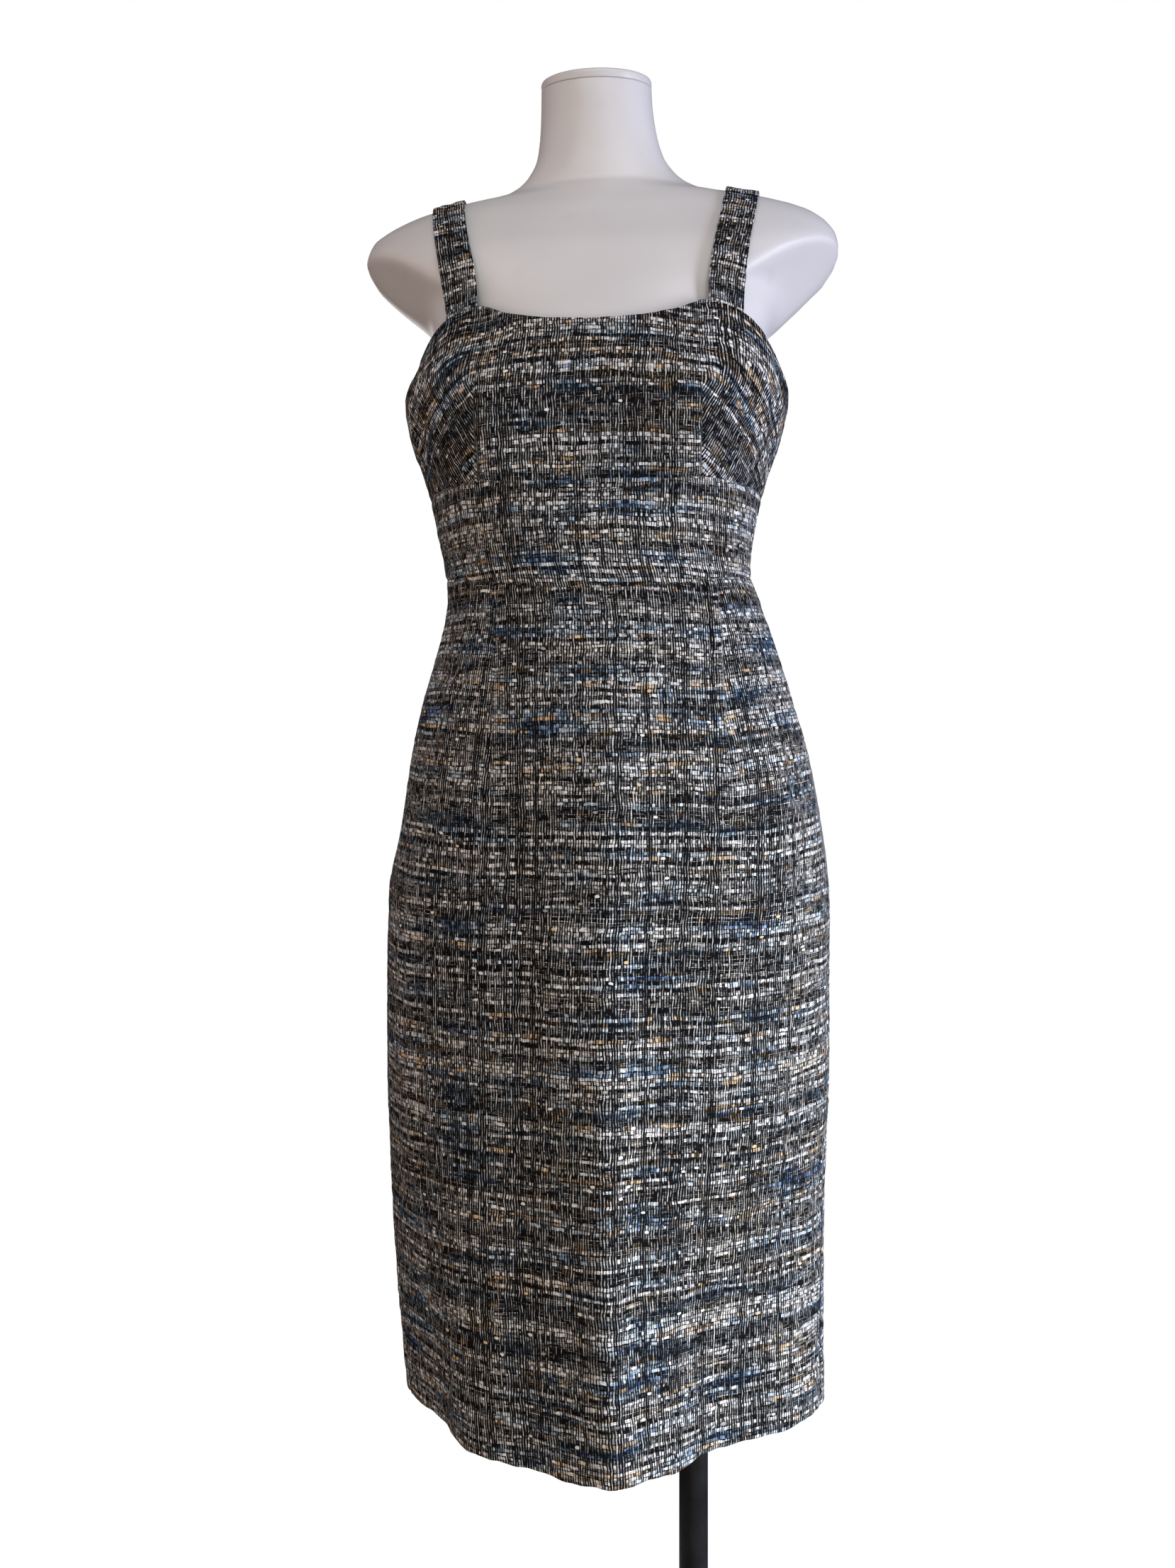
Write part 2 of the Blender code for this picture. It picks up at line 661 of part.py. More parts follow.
def form_ring(height, raised, smaller):
    """One level of the form: a ring that may lie above its section or inside it."""
    ring = []
    section = section_at(FORM, height)
    middle = (section.back - section.front) / 2.0
    tilt = NECK_TILT * smooth(NECK_TILT_START, NECK_TOP, height)
    for facet in range(AROUND_FORM):
        angle = 360.0 * facet / AROUND_FORM
        point = cut_stump(skin_point(FORM, height, angle, False))
        centre = Vector((section.lean, middle, height))
        point = centre + (point - centre) * (1.0 - smaller / section.side)
        slope = tilt * (point.y - middle)
        ring.append(Vector((point.x, point.y - tilt * raised, point.z + slope + raised)))
    return ring


def closed_rings(name, rings, finish):
    """A closed body through rings of points, flat at both ends."""
    made = bmesh.new()
    levels = [[made.verts.new(point) for point in ring] for ring in rings]
    for lower, upper in zip(levels, levels[1:]):
        for facet in range(len(lower)):
            after = (facet + 1) % len(lower)
            made.faces.new((lower[facet], lower[after], upper[after], upper[facet]))
    made.faces.new(list(reversed(levels[0])))
    made.faces.new(levels[-1])
    bmesh.ops.recalc_face_normals(made, faces=made.faces)
    return add_object(name, finish_mesh(name, made), finish)


def make_form(plastic):
    """The torso with its arm stumps and neck, and the plate that closes the neck."""
    closed_rings("form_torso", [form_ring(row.height, 0.0, 0.0) for row in FORM], plastic)
    plate = [
        form_ring(NECK_TOP, SEAM_GAP, NECK_EDGE / 2.0),
        form_ring(NECK_TOP, SEAM_GAP + NECK_EDGE / 2.0, 0.0),
        form_ring(NECK_TOP, NECK_PLATE - NECK_EDGE, 0.0),
        form_ring(NECK_TOP, NECK_PLATE - NECK_EDGE * 0.3, NECK_EDGE * 0.3),
        form_ring(NECK_TOP, NECK_PLATE, NECK_EDGE),
    ]
    closed_rings("neck_plate", plate, plastic)


def turned(name, profile, facets, finish, x=0.0):
    """A turned piece: a closed profile of (radius, height) points spun about an upright axis."""
    mesh = bpy.data.meshes.new(name)
    edges = [(index, (index + 1) % len(profile)) for index in range(len(profile))]
    if profile[0][0] == 0.0:
        edges.pop()
    mesh.from_pydata([(radius, 0.0, height) for radius, height in profile], edges, [])
    piece = add_object(name, mesh, finish)
    piece.location.x = x
    spin = piece.modifiers.new("spin", "SCREW")
    spin.axis = "Z"
    spin.angle = math.radians(360.0)
    spin.steps = facets
    spin.render_steps = facets
    spin.use_merge_vertices = True
    spin.merge_threshold = 0.0001
    spin.use_smooth_shade = False
    return piece


SOCKET_FLANGE = 0.034
SOCKET_RADIUS = 0.0185
SOCKET_LENGTH = 0.045
SOCKET_PLATE = 0.005
COLLAR_RADIUS = 0.026
COLLAR_HEIGHT = 0.032
COLLAR_EDGE = 0.003
BASE_EDGE = 0.002


def make_stand(black):
    """Round base, collar, pole and the socket under the form that the pole goes into."""
    turned("base_plate", [
        (0.0, BASE_THICKNESS), (BASE_RADIUS - BASE_EDGE, BASE_THICKNESS),
        (BASE_RADIUS, BASE_THICKNESS - BASE_EDGE), (BASE_RADIUS, 0.0), (0.0, 0.0),
    ], 64, black)
    bore = POLE_RADIUS + SEAM_GAP
    foot = BASE_THICKNESS + SEAM_GAP
    turned("base_collar", [
        (bore, foot + COLLAR_HEIGHT), (COLLAR_RADIUS - COLLAR_EDGE * 2.0, foot + COLLAR_HEIGHT),
        (COLLAR_RADIUS - COLLAR_EDGE, foot + COLLAR_HEIGHT - COLLAR_EDGE),
        (COLLAR_RADIUS, foot), (bore, foot),
    ], 24, black, POLE_X)
    top = FORM_UNDERSIDE - SEAM_GAP
    turned("pole", [(0.0, top), (POLE_RADIUS, top), (POLE_RADIUS, foot), (0.0, foot)],
           24, black, POLE_X)
    turned("form_socket", [
        (bore, top), (SOCKET_FLANGE, top), (SOCKET_FLANGE, top - SOCKET_PLATE),
        (SOCKET_RADIUS, top - SOCKET_PLATE), (SOCKET_RADIUS, top - SOCKET_LENGTH),
        (bore, top - SOCKET_LENGTH),
    ], 24, black, POLE_X)


def main():
    tweed = material("tweed", (0.16, 0.16, 0.17), 0.85, sheen=0.3)
    lining = material("lining", (0.10, 0.10, 0.11), 0.60)
    plastic = material("form_plastic", (0.86, 0.86, 0.87), 0.28, coat=0.3)
    black = material("black_steel", (0.015, 0.015, 0.016), 0.35, metallic=0.6)
    make_dress_panels(tweed)
    make_strap("strap_left", 1.0, tweed)
    make_strap("strap_right", -1.0, tweed)
    make_pocket("pocket_left", 1.0, lining)
    make_pocket("pocket_right", -1.0, lining)
    make_back_zip(lining)
    make_form(plastic)
    make_stand(black)


main()
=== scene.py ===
"""A sleeveless tweed sheath dress on a limbless dress form with a pole and a round base."""

import math
from collections import namedtuple
from types import SimpleNamespace

import bmesh
import bpy
import numpy as np
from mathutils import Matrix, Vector


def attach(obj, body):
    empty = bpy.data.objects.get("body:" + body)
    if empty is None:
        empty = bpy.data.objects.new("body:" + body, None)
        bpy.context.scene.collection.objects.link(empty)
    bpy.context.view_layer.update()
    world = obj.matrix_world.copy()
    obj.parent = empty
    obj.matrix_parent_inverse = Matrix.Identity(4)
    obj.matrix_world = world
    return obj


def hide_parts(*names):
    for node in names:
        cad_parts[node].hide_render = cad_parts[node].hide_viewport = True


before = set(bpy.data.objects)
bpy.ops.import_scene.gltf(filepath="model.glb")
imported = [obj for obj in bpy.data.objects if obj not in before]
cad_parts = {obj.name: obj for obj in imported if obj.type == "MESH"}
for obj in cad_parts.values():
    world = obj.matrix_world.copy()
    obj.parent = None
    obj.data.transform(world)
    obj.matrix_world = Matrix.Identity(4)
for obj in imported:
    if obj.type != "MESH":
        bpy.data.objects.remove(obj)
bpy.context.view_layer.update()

# ------------ camera
# It stands level at hip height, a step in front of the dress and a little towards the wearer's
# left, and takes in the neck of the form down to the pole under the hem.

scene = bpy.context.scene
CAMERA_TURN = math.radians(4.0)
CAMERA_AWAY = 0.970
CAMERA_HEIGHT = 0.990
CAMERA_ASIDE = -0.0075

camera = bpy.data.objects.new("camera", bpy.data.cameras.new("camera"))
camera.data.sensor_fit = "VERTICAL"
camera.data.sensor_height = 36.0
camera.data.lens = 26.0
camera.location = (
    math.sin(CAMERA_TURN) * CAMERA_AWAY + math.cos(CAMERA_TURN) * CAMERA_ASIDE,
    -math.cos(CAMERA_TURN) * CAMERA_AWAY + math.sin(CAMERA_TURN) * CAMERA_ASIDE,
    CAMERA_HEIGHT,
)
camera.rotation_euler = (math.radians(90.0), 0.0, CAMERA_TURN)
scene.collection.objects.link(camera)
scene.camera = camera

# ------------ form torso
# A moulded shell of smooth white plastic: body, neck and two short arm stumps, each cut off by
# a flat face that looks down and to the front. Its level sections give the whole shape.

Section = namedtuple("Section", "height side front back round lean")
TO_METRES = (1000, 1000, 1000, 1000, 1, 1000)
FORM = [Section(*np.divide(row, TO_METRES)) for row in (
    ( 780, 148.0,  82,  92, 2.20,  7.0),
    ( 786, 161.0,  94, 103, 2.20,  8.0),
    ( 800, 171.0, 103, 111, 2.18,  8.5),
    ( 830, 177.5, 110, 117, 2.16,  8.5),
    ( 870, 180.5, 113, 120, 2.15,  9.2),
    ( 910, 177.2, 113, 120, 2.15, 10.8),
    ( 960, 170.2, 110, 116, 2.15, 11.5),
    (1020, 159.7, 106, 109, 2.16, 10.5),
    (1060, 148.8, 102, 100, 2.17,  9.2),
    (1100, 137.2,  98,  91, 2.18,  9.0),
    (1140, 125.8,  93,  81, 2.20,  6.5),
    (1165, 122.6,  92,  78, 2.20,  1.8),
    (1200, 127.2,  96,  79, 2.22,  0.0),
    (1240, 136.2, 102,  83, 2.25,  0.0),
    (1280, 149.4, 108,  87, 2.28,  0.0),
    (1310, 154.5, 107,  90, 2.30,  0.6),
    (1335, 146.7, 102,  92, 2.35,  2.0),
    (1356, 140.0,  96,  93, 2.35,  2.2),
    (1372, 143.0,  90,  92, 2.45,  3.5),
    (1388, 157.5,  84,  90, 2.55,  5.0),
    (1408, 180.0,  77,  88, 2.60,  3.5),
    (1425, 197.0,  71,  85, 2.50,  3.0),
    (1440, 203.0,  64,  82, 2.35,  2.8),
    (1453, 201.0,  58,  78, 2.15,  3.4),
    (1464, 192.5,  53,  74, 1.98,  6.0),
    (1473, 180.0,  48,  69, 1.82,  8.5),
    (1479, 163.5,  45,  66, 1.68,  9.2),
    (1483, 142.0,  43,  63, 1.58,  9.0),
    (1487, 118.0,  41,  61, 1.58,  8.0),
    (1492,  94.5,  40,  60, 1.70,  6.8),
    (1499,  77.0,  40,  59, 1.84,  5.6),
    (1508,  65.5,  40,  58, 1.95,  4.6),
    (1524,  55.2,  41,  57, 2.00,  3.2),
    (1548,  49.7,  43,  53, 2.00,  1.4),
    (1570,  47.6,  45,  49, 2.00,  0.4),
    (1582.5,  47.1,  46,  47, 2.00,  0.2),
)]
NECK_TOP = FORM[-1].height
NECK_MIDDLE = (FORM[-1].back - FORM[-1].front) / 2.0
NECK_TILT = 0.34
NECK_TILT_START = 1.530
STUMP_CUT_FACING = (0.64, -0.384, -0.666)
STUMP_CUT_PLACE = -0.8271
STUMP_CUT_EDGE = 0.0016
STUMP_CUT_FADE = (1.372, 1.392)
STUMP_CUT_START_X = 0.05
LEVELS_EACH = 4
COLUMNS_AROUND = 120
SAME_PLACE = 0.00001
SHARP_EDGE = math.radians(50.0)
PLASTIC_TONES = [(0.35, (0.74, 0.715, 0.72)), (0.65, (0.80, 0.785, 0.79))]
SMUDGE_TONE = (0.58, 0.54, 0.53, 1.0)


def smooth(start, end, value):
    share = np.clip((value - start) / (end - start), 0.0, 1.0)
    return share * share * (3.0 - 2.0 * share)


def mound(distance, spread):
    return np.exp(-(distance / spread) ** 2)


def read_column(rows, column, at):
    """A smooth curve through one column of a table, read at many places at once."""
    keys = np.array([row[0] for row in rows])
    values = np.array([row[column] for row in rows])
    steps = np.diff(keys)
    slopes = np.diff(values) / steps
    tangents = np.concatenate(([slopes[0]], np.zeros(len(keys) - 2), [slopes[-1]]))
    same_way = slopes[:-1] * slopes[1:] > 0.0
    before, after = slopes[:-1][same_way], slopes[1:][same_way]
    tangents[1:-1][same_way] = 2.0 * before * after / (before + after)
    index = np.clip(np.searchsorted(keys, at) - 1, 0, len(keys) - 2)
    step = steps[index]
    share = np.clip((at - keys[index]) / step, 0.0, 1.0)
    gap = 1.0 - share
    return (
        (1.0 + 2.0 * share) * gap * gap * values[index]
        + share * gap * gap * step * tangents[index]
        + share * share * (3.0 - 2.0 * share) * values[index + 1]
        - share * share * gap * step * tangents[index + 1]
    )


def section_at(rows, height):
    """The five values of a body's level section at many heights."""
    return [read_column(rows, column, height) for column in range(1, len(Section._fields))]


def skin(rows, height, angle, rise=0.0):
    """Points of a body's surface at many heights and angles, pushed out by a rise."""
    side, front, back, round_power, lean = section_at(rows, height)
    turn = np.radians(angle)
    depth = (front + back) / 2.0
    across = np.abs(np.sin(turn)) / side
    along = np.abs(np.cos(turn)) / depth
    reach = (across ** round_power + along ** round_power) ** (-1.0 / round_power) + rise
    x = lean + reach * np.sin(turn)
    y = (back - front) / 2.0 - reach * np.cos(turn)
    return np.stack((x, y, np.broadcast_to(height, x.shape)), axis=-1)


def cut_stumps(points):
    """Lays the flat end faces on the arm stumps."""
    for side in (-1.0, 1.0):
        facing = np.array(STUMP_CUT_FACING) * (side, 1.0, 1.0)
        over = points @ facing - STUMP_CUT_PLACE
        soft = STUMP_CUT_EDGE * np.logaddexp(0.0, over / STUMP_CUT_EDGE)
        upper = smooth(*STUMP_CUT_FADE, points[..., 2])
        upper *= side * points[..., 0] > STUMP_CUT_START_X
        points = points - (soft * upper)[..., None] * facing
    return points


def neck_tilted(points, height, raised=0.0):
    """Tips the top of the neck down towards the front."""
    tilt = NECK_TILT * smooth(NECK_TILT_START, NECK_TOP, height)
    away = points[..., 1] - NECK_MIDDLE
    points[..., 1] -= tilt * raised
    points[..., 2] += tilt * away + raised
    return points


def quad_grid(points, weaves=()):
    """A grid of quads through a table of points; each zone of columns has its own weave map."""
    rows, columns = points.shape[0] - 1, points.shape[1] - 1
    grid = bmesh.new()
    bmesh.ops.create_grid(grid, x_segments=columns, y_segments=rows, size=1.0)
    for vert, point in zip(grid.verts, points.reshape(-1, 3)):
        vert.co = point
    if weaves:
        layer = grid.loops.layers.uv.new("weave")
        grid.verts.index_update()
        tables = [table.reshape(-1, 2) for _, table in weaves]
        for index, face in enumerate(grid.faces):
            table = tables[sum(index % columns >= first for first, _ in weaves) - 1]
            for loop in face.loops:
                loop[layer].uv = table[loop.vert.index]
    return grid


def closed_tube(points):
    """Joins a grid that runs all the way round, and closes both of its ends."""
    tube = quad_grid(points)
    bmesh.ops.remove_doubles(tube, verts=tube.verts, dist=SAME_PLACE)
    rims = [edge for edge in tube.edges if edge.is_boundary]
    bmesh.ops.holes_fill(tube, edges=rims, sides=0)
    bmesh.ops.recalc_face_normals(tube, faces=tube.faces)
    return tube


def placed(name, shape, finish):
    """Puts a shape into the scene with its finish."""
    mesh = bpy.data.meshes.new(name)
    shape.to_mesh(mesh)
    shape.free()
    mesh.shade_smooth()
    mesh.set_sharp_from_angle(angle=SHARP_EDGE)
    mesh.materials.append(finish.material)
    piece = bpy.data.objects.new(name, mesh)
    scene.collection.objects.link(piece)
    return piece


def finished(name, shape, finish, node):
    """Makes a piece of a shape, hangs it on the root and hides the part it stands for."""
    piece = placed(name, shape, finish)
    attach(piece, "root")
    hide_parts(node)
    return piece


class Finish:
    """A material whose nodes are put down one call at a time."""

    def __init__(self, name, roughness, **sockets):
        self.name = name
        self.material = bpy.data.materials.new(name)
        self.material.use_nodes = True
        self.tree = self.material.node_tree
        self.shader = self.tree.nodes["Principled BSDF"]
        self.shader.inputs["Roughness"].default_value = roughness
        for socket, value in sockets.items():
            self.shader.inputs[socket.replace("_", " ")].default_value = value

    def node(self, kind, inputs=(), **settings):
        made = self.tree.nodes.new("ShaderNode" + kind)
        for setting, value in settings.items():
            setattr(made, setting, value)
        for socket, value in dict(inputs).items():
            if isinstance(value, bpy.types.NodeSocket):
                self.tree.links.new(value, made.inputs[socket])
            else:
                made.inputs[socket].default_value = value
        return made

    def math(self, operation, *values):
        return self.node("Math", enumerate(values), operation=operation).outputs[0]

    def noise(self, place, scale, detail, dimensions="3D"):
        made = self.node("TexNoise", {"Vector": place, "Scale": scale, "Detail": detail},
                         noise_dimensions=dimensions)
        return made.outputs["Fac"]

    def grain(self, scale, detail):
        """A noise through the piece's own space."""
        return self.noise(self.node("TexCoord").outputs["Object"], scale, detail)

    def between(self, value, low, high, to_low=0.0, to_high=1.0, curve="SMOOTHSTEP"):
        inputs = {0: value, 1: low, 2: high, 3: to_low, 4: to_high}
        return self.node("MapRange", inputs, interpolation_type=curve).outputs[0]

    def ramp(self, value, stops, blend="LINEAR"):
        made = self.node("ValToRGB", {0: value})
        made.color_ramp.interpolation = blend
        for place, _ in stops[1:-1]:
            made.color_ramp.elements.new(place)
        for element, (place, colour) in zip(made.color_ramp.elements, stops):
            element.position = place
            element.color = (*np.broadcast_to(colour, 3), 1.0)
        return made.outputs[0]

    def mix(self, share, first, second):
        return self.node("Mix", {0: share, 6: first, 7: second}, data_type="RGBA").outputs[2]

    def colour(self, value):
        self.tree.links.new(value, self.shader.inputs["Base Color"])

    def relief(self, height, distance, strength):
        inputs = {"Height": height, "Distance": distance, "Strength": strength}
        self.tree.links.new(self.node("Bump", inputs).outputs[0], self.shader.inputs["Normal"])


plastic = Finish("form_plastic", 0.38, Coat_Weight=0.15, Coat_Roughness=0.25)
cast = plastic.ramp(plastic.grain(7.0, 3.0), PLASTIC_TONES)
smudge = plastic.between(plastic.grain(23.0, 5.0), 0.60, 0.78, 0.0, 0.22)
plastic.colour(plastic.mix(smudge, cast, SMUDGE_TONE))
plastic.relief(plastic.grain(160.0, 2.0), 0.0001, 0.25)

steps = np.arange((len(FORM) - 1) * LEVELS_EACH + 1) / LEVELS_EACH
levels = np.interp(steps, range(len(FORM)), [row.height for row in FORM])[:, None]
around = np.linspace(0.0, 360.0, COLUMNS_AROUND + 1)
torso = closed_tube(neck_tilted(cut_stumps(skin(FORM, levels, around)), levels))
finished("form_torso_shell", torso, plastic, "form_torso")

# ------------ neck plate
# A flat plate with a rounded rim, of the same plastic, that closes the neck. It slopes down
# towards the front with the neck's cut.

PLATE_RIM = [(0.0003, 0.0010), (0.0010, 0.0), (0.0045, 0.0), (0.0056, 0.0003), (0.0064, 0.0009),
             (0.0070, 0.0022)]

centre = np.array((FORM[-1].lean, NECK_MIDDLE, NECK_TOP))
neck_end = skin(FORM, NECK_TOP, around)
rings = []
for raised, smaller in PLATE_RIM:
    ring = centre + (neck_end - centre) * (1.0 - smaller / FORM[-1].side)
    rings.append(neck_tilted(ring, NECK_TOP, raised))
finished("neck_plate_cap", closed_tube(np.array(rings)), plastic, "neck_plate")

# ------------ pole, socket, collar, base
# The form is carried by a steel tube that goes into a flanged socket under it and stands in a
# collar on a round steel plate. All of it is painted black, half glossy.

POLE_X = 0.083
POLE_RADIUS = 0.0122
POLE_CHAMFER = 0.0006
FORM_UNDERSIDE = FORM[0].height
GAP = 0.0003
BASE_RADIUS = 0.190
BASE_THICKNESS = 0.008
TURNED_STEPS = 96

# Pairs: radius and drop under the form, radius and rise over the base, inset and height.
SOCKET = [(0.0340, 0.0), (0.0340, 0.0042), (0.0332, 0.0050), (0.0205, 0.0050), (0.0185, 0.0070),
          (0.0185, 0.0442), (0.0177, 0.0450)]
COLLAR = [(0.0200, 0.0320), (0.0218, 0.0312), (0.0230, 0.0290), (0.0252, 0.0060), (0.0260, 0.0)]
BASE_RIM = [(0.0012, 0.0), (0.0, 0.0012), (0.0, 0.0055), (0.0007, 0.0067), (0.0025, BASE_THICKNESS)]
BLACK_TONES = [(0.30, (0.007, 0.007, 0.008)), (0.75, (0.018, 0.018, 0.020))]
SCUFF_TONE = (0.045, 0.044, 0.045, 1.0)


def turned(name, profile, x, closed, node):
    """A turned piece: a profile of (radius, height) points spun about an upright axis."""
    shape = bmesh.new()
    points = [shape.verts.new((x + radius, 0.0, level)) for radius, level in profile]
    edges = [shape.edges.new(pair) for pair in zip(points, points[1:])]
    if closed:
        edges.append(shape.edges.new((points[-1], points[0])))
    bmesh.ops.spin(shape, geom=points + edges, cent=(x, 0.0, 0.0), axis=(0.0, 0.0, 1.0),
                   angle=math.radians(360.0), steps=TURNED_STEPS, use_merge=True)
    bmesh.ops.remove_doubles(shape, verts=shape.verts, dist=SAME_PLACE * 2.0)
    bmesh.ops.recalc_face_normals(shape, faces=shape.faces)
    finished(name, shape, black, node)


black = Finish("black_steel", 0.42, Specular_IOR_Level=0.12)
worn = black.ramp(black.grain(45.0, 4.0), BLACK_TONES)
scuff = black.between(black.grain(90.0, 6.0), 0.68, 0.80, 0.0, 0.5)
black.colour(black.mix(scuff, worn, SCUFF_TONE))
black.relief(black.grain(420.0, 3.0), 0.0001, 0.35)

foot = BASE_THICKNESS + GAP
top = FORM_UNDERSIDE - GAP
bore = POLE_RADIUS + GAP
pole_end = POLE_RADIUS - POLE_CHAMFER
turned("pole_tube", [(0.0, foot), (pole_end, foot), (POLE_RADIUS, foot + POLE_CHAMFER),
                     (POLE_RADIUS, top - POLE_CHAMFER), (pole_end, top), (0.0, top)],
       POLE_X, False, "pole")
turned("socket_turned", [(bore, top), *((radius, top - drop) for radius, drop in SOCKET),
                         (bore, top - SOCKET[-1][1])], POLE_X, True, "form_socket")
turned("collar_turned", [(bore, foot + COLLAR[0][1]),
                         *((radius, foot + up) for radius, up in COLLAR),
                         (bore, foot)], POLE_X, True, "base_collar")
turned("base_disc", [(0.0, 0.0), *((BASE_RADIUS - inset, up) for inset, up in BASE_RIM),
                     (0.0, BASE_THICKNESS)], 0.0, False, "base_plate")

# ------------ bodice front
# One piece of tweed between the neckline and the seam under the bust. A dart runs up each side
# to the bust point, so the cloth outside it lies turned and its rows fall towards the arms.
# The tweed is a loose plain weave: thick uneven slub yarns run across under thin black ends.

CLOTH = 0.0020
SEAM_SINK = 0.0009
SEAM_SPREAD = 0.0026
NECKLINE = 1.346
STRAP_BASE = 1.366
UNDERARM = 1.315
UNDERBUST = 1.214
SIDE_SEAM = 85.0
STRAP_INNER = 47.0
STRAP_OUTER = 60.0
HEM_HEIGHT = 0.467

DRESS = [Section(*np.divide(row, TO_METRES)) for row in (
    ( 460, 178.5, 126, 119, 1.60, 15.5),
    ( 560, 183.0, 125, 121, 1.66, 10.5),
    ( 660, 185.7, 123, 123, 1.76,  8.2),
    ( 760, 188.7, 121, 125, 1.90,  8.2),
    ( 850, 188.4, 120, 127, 2.02,  8.5),
    ( 900, 186.2, 120, 127, 2.08, 10.5),
    ( 960, 177.8, 118, 124, 2.12, 11.5),
    (1020, 167.2, 114, 117, 2.14, 10.5),
    (1060, 156.3, 110, 108, 2.16,  9.2),
    (1100, 144.0, 105,  98, 2.18,  9.0),
    (1140, 132.2, 100,  88, 2.20,  6.5),
    (1165, 128.8,  99,  85, 2.20,  1.8),
    (1200, 133.5, 103,  86, 2.22,  0.0),
    (1240, 142.5, 109,  90, 2.25,  0.0),
    (1280, 156.0, 115,  94, 2.28,  0.0),
    (1310, 161.0, 114,  97, 2.30,  0.6),
    (1335, 153.0, 109,  99, 2.32,  2.0),
    (1360, 147.0, 102, 101, 2.40,  2.0),
    (1400, 143.0,  91,  99, 2.42,  2.0),
)]
BUST = SimpleNamespace(apart=0.083, height=1.268, rise=0.015, across=0.036, up_down=0.043)
Fold = namedtuple("Fold", "angle rise spread top")
FOLDS = [Fold(*row) for row in (
    (3, 0.0035, 7, 1.060),
    (-47, 0.0060, 15, 0.800),
    (-71, -0.0090, 13, 0.700),
    (52, -0.0220, 22, 0.780),
    (-118, -0.0080, 18, 0.760),
    (-156, 0.0045, 14, 0.720),
    (122, -0.0110, 20, 0.780),
    (160, 0.0040, 13, 0.700),
)]
POCKET_BULGE = SimpleNamespace(angle=-87.0, height=0.906, rise=0.003, across=9.0, up_down=0.024)

# The panels' edges run through (angle, height) pairs.
FRONT_TOP = [
    (0, NECKLINE), (18, NECKLINE + 0.002), (34, NECKLINE + 0.009),
    (STRAP_INNER, STRAP_BASE), (STRAP_OUTER, STRAP_BASE - 0.004), (68, 1.354),
    (77, 1.336), (SIDE_SEAM, UNDERARM), (90, UNDERARM - 0.002),
]
UNDERBUST_SEAM = [
    (0, UNDERBUST), (20, UNDERBUST + 0.003), (42, UNDERBUST + 0.011),
    (62, UNDERBUST + 0.013), (85, UNDERBUST + 0.014), (180, UNDERBUST + 0.012),
]

# Soft creases: each runs up from low to high, leans by slant degrees on its way, and
# is a ridge or a trough of that rise, spread in degrees.
Crease = namedtuple("Crease", "angle low high rise spread slant")
BODICE_CREASES = [Crease(*row) for row in (
    (-71, 1.236, 1.312, -0.0022, 2.2, 2),
    (-77, 1.232, 1.300, 0.0012, 2.6, 1),
    (73, 1.240, 1.304, -0.0014, 2.4, -2),
    (-30, 1.292, 1.338, -0.0010, 5, 9),
    (29, 1.288, 1.330, -0.0008, 5.5, -8),
    (8, 1.222, 1.268, 0.0008, 6, 2),
)]

# A dart runs from its base to its apex. It draws the cloth in more and more from the apex, fully
# after the fade's height, and the weave outside it lies turned by some degrees.
Dart = namedtuple("Dart", "side base_x apex_x base apex fade turn")
BUST_DARTS = (Dart(-1.0, -0.086, -0.086, UNDERBUST, 1.298, -0.035, 34.0),
              Dart(1.0, 0.086, 0.086, UNDERBUST, 1.290, -0.035, 34.0))
DART_SINK = 0.0013
DART_SPREAD = 0.0017
DART_REACH = math.radians(110.0)
ROWS_READ_AT = np.array([[40.0]])
BODICE_ROWS = 64
BODICE_COLUMNS = (36, 64, 36)
CROWDING = 0.6
TOP_TURNED_IN = 0.0012
WALL_EDGE = 0.0007
WALL_EDGE_FROM = math.radians(55.0)
NUB_WAVES = 16
NUB_FINEST = 700.0
NUB_RISE = 0.00006
PUCKER = 0.3
PUCKERS_UP = (310.0, 127.0, 1.3)
PUCKERS_ACROSS = (290.0, 113.0, 0.4)


def turn_between(angle, middle):
    return (angle - middle + 180.0) % 360.0 - 180.0


def edge(rows, middle=0.0):
    """A panel's edge round the body: its height at each angle, the same on both sides."""
    return lambda angle: read_column(rows, 1, np.abs(turn_between(angle, middle)))


front_top = edge(FRONT_TOP)
underbust = edge(UNDERBUST_SEAM)


def fold_rise(height, angle, bulge=POCKET_BULGE):
    """How far the skirt's folds and the pocket's mouth push the cloth out."""
    rise = np.zeros(np.broadcast(height, angle).shape)
    for fold in FOLDS:
        growth = smooth(fold.top, HEM_HEIGHT, height)
        rise += fold.rise * growth * mound(turn_between(angle, fold.angle), fold.spread)
    across = mound(turn_between(angle, bulge.angle), bulge.across)
    return rise + bulge.rise * across * mound(height - bulge.height, bulge.up_down)


def dress_skin(height, angle):
    """The outside of the dress, with its bust and its folds."""
    points = skin(DRESS, height, angle, fold_rise(height, angle))
    across = mound(np.abs(points[..., 0] - read_column(DRESS, 5, height)) - BUST.apart, BUST.across)
    cup = BUST.rise * across * mound(height - BUST.height, BUST.up_down)
    points[..., 1] -= cup * smooth(100.0, 60.0, np.abs(turn_between(angle, 0.0)))
    return points


def unit(vectors):
    return vectors / np.linalg.norm(vectors, axis=-1, keepdims=True)


def outward(points):
    """The outward directions of a grid of points."""
    return unit(np.cross(np.gradient(points, axis=1), np.gradient(points, axis=0)))


def run_along(points, axis):
    """How far each point lies along its row (axis 1) or its column (axis 0) of the grid."""
    steps = np.linalg.norm(np.diff(points, axis=axis), axis=-1)
    start = np.zeros_like(steps.take([0], axis=axis))
    return np.concatenate((start, np.cumsum(steps, axis=axis)), axis=axis)


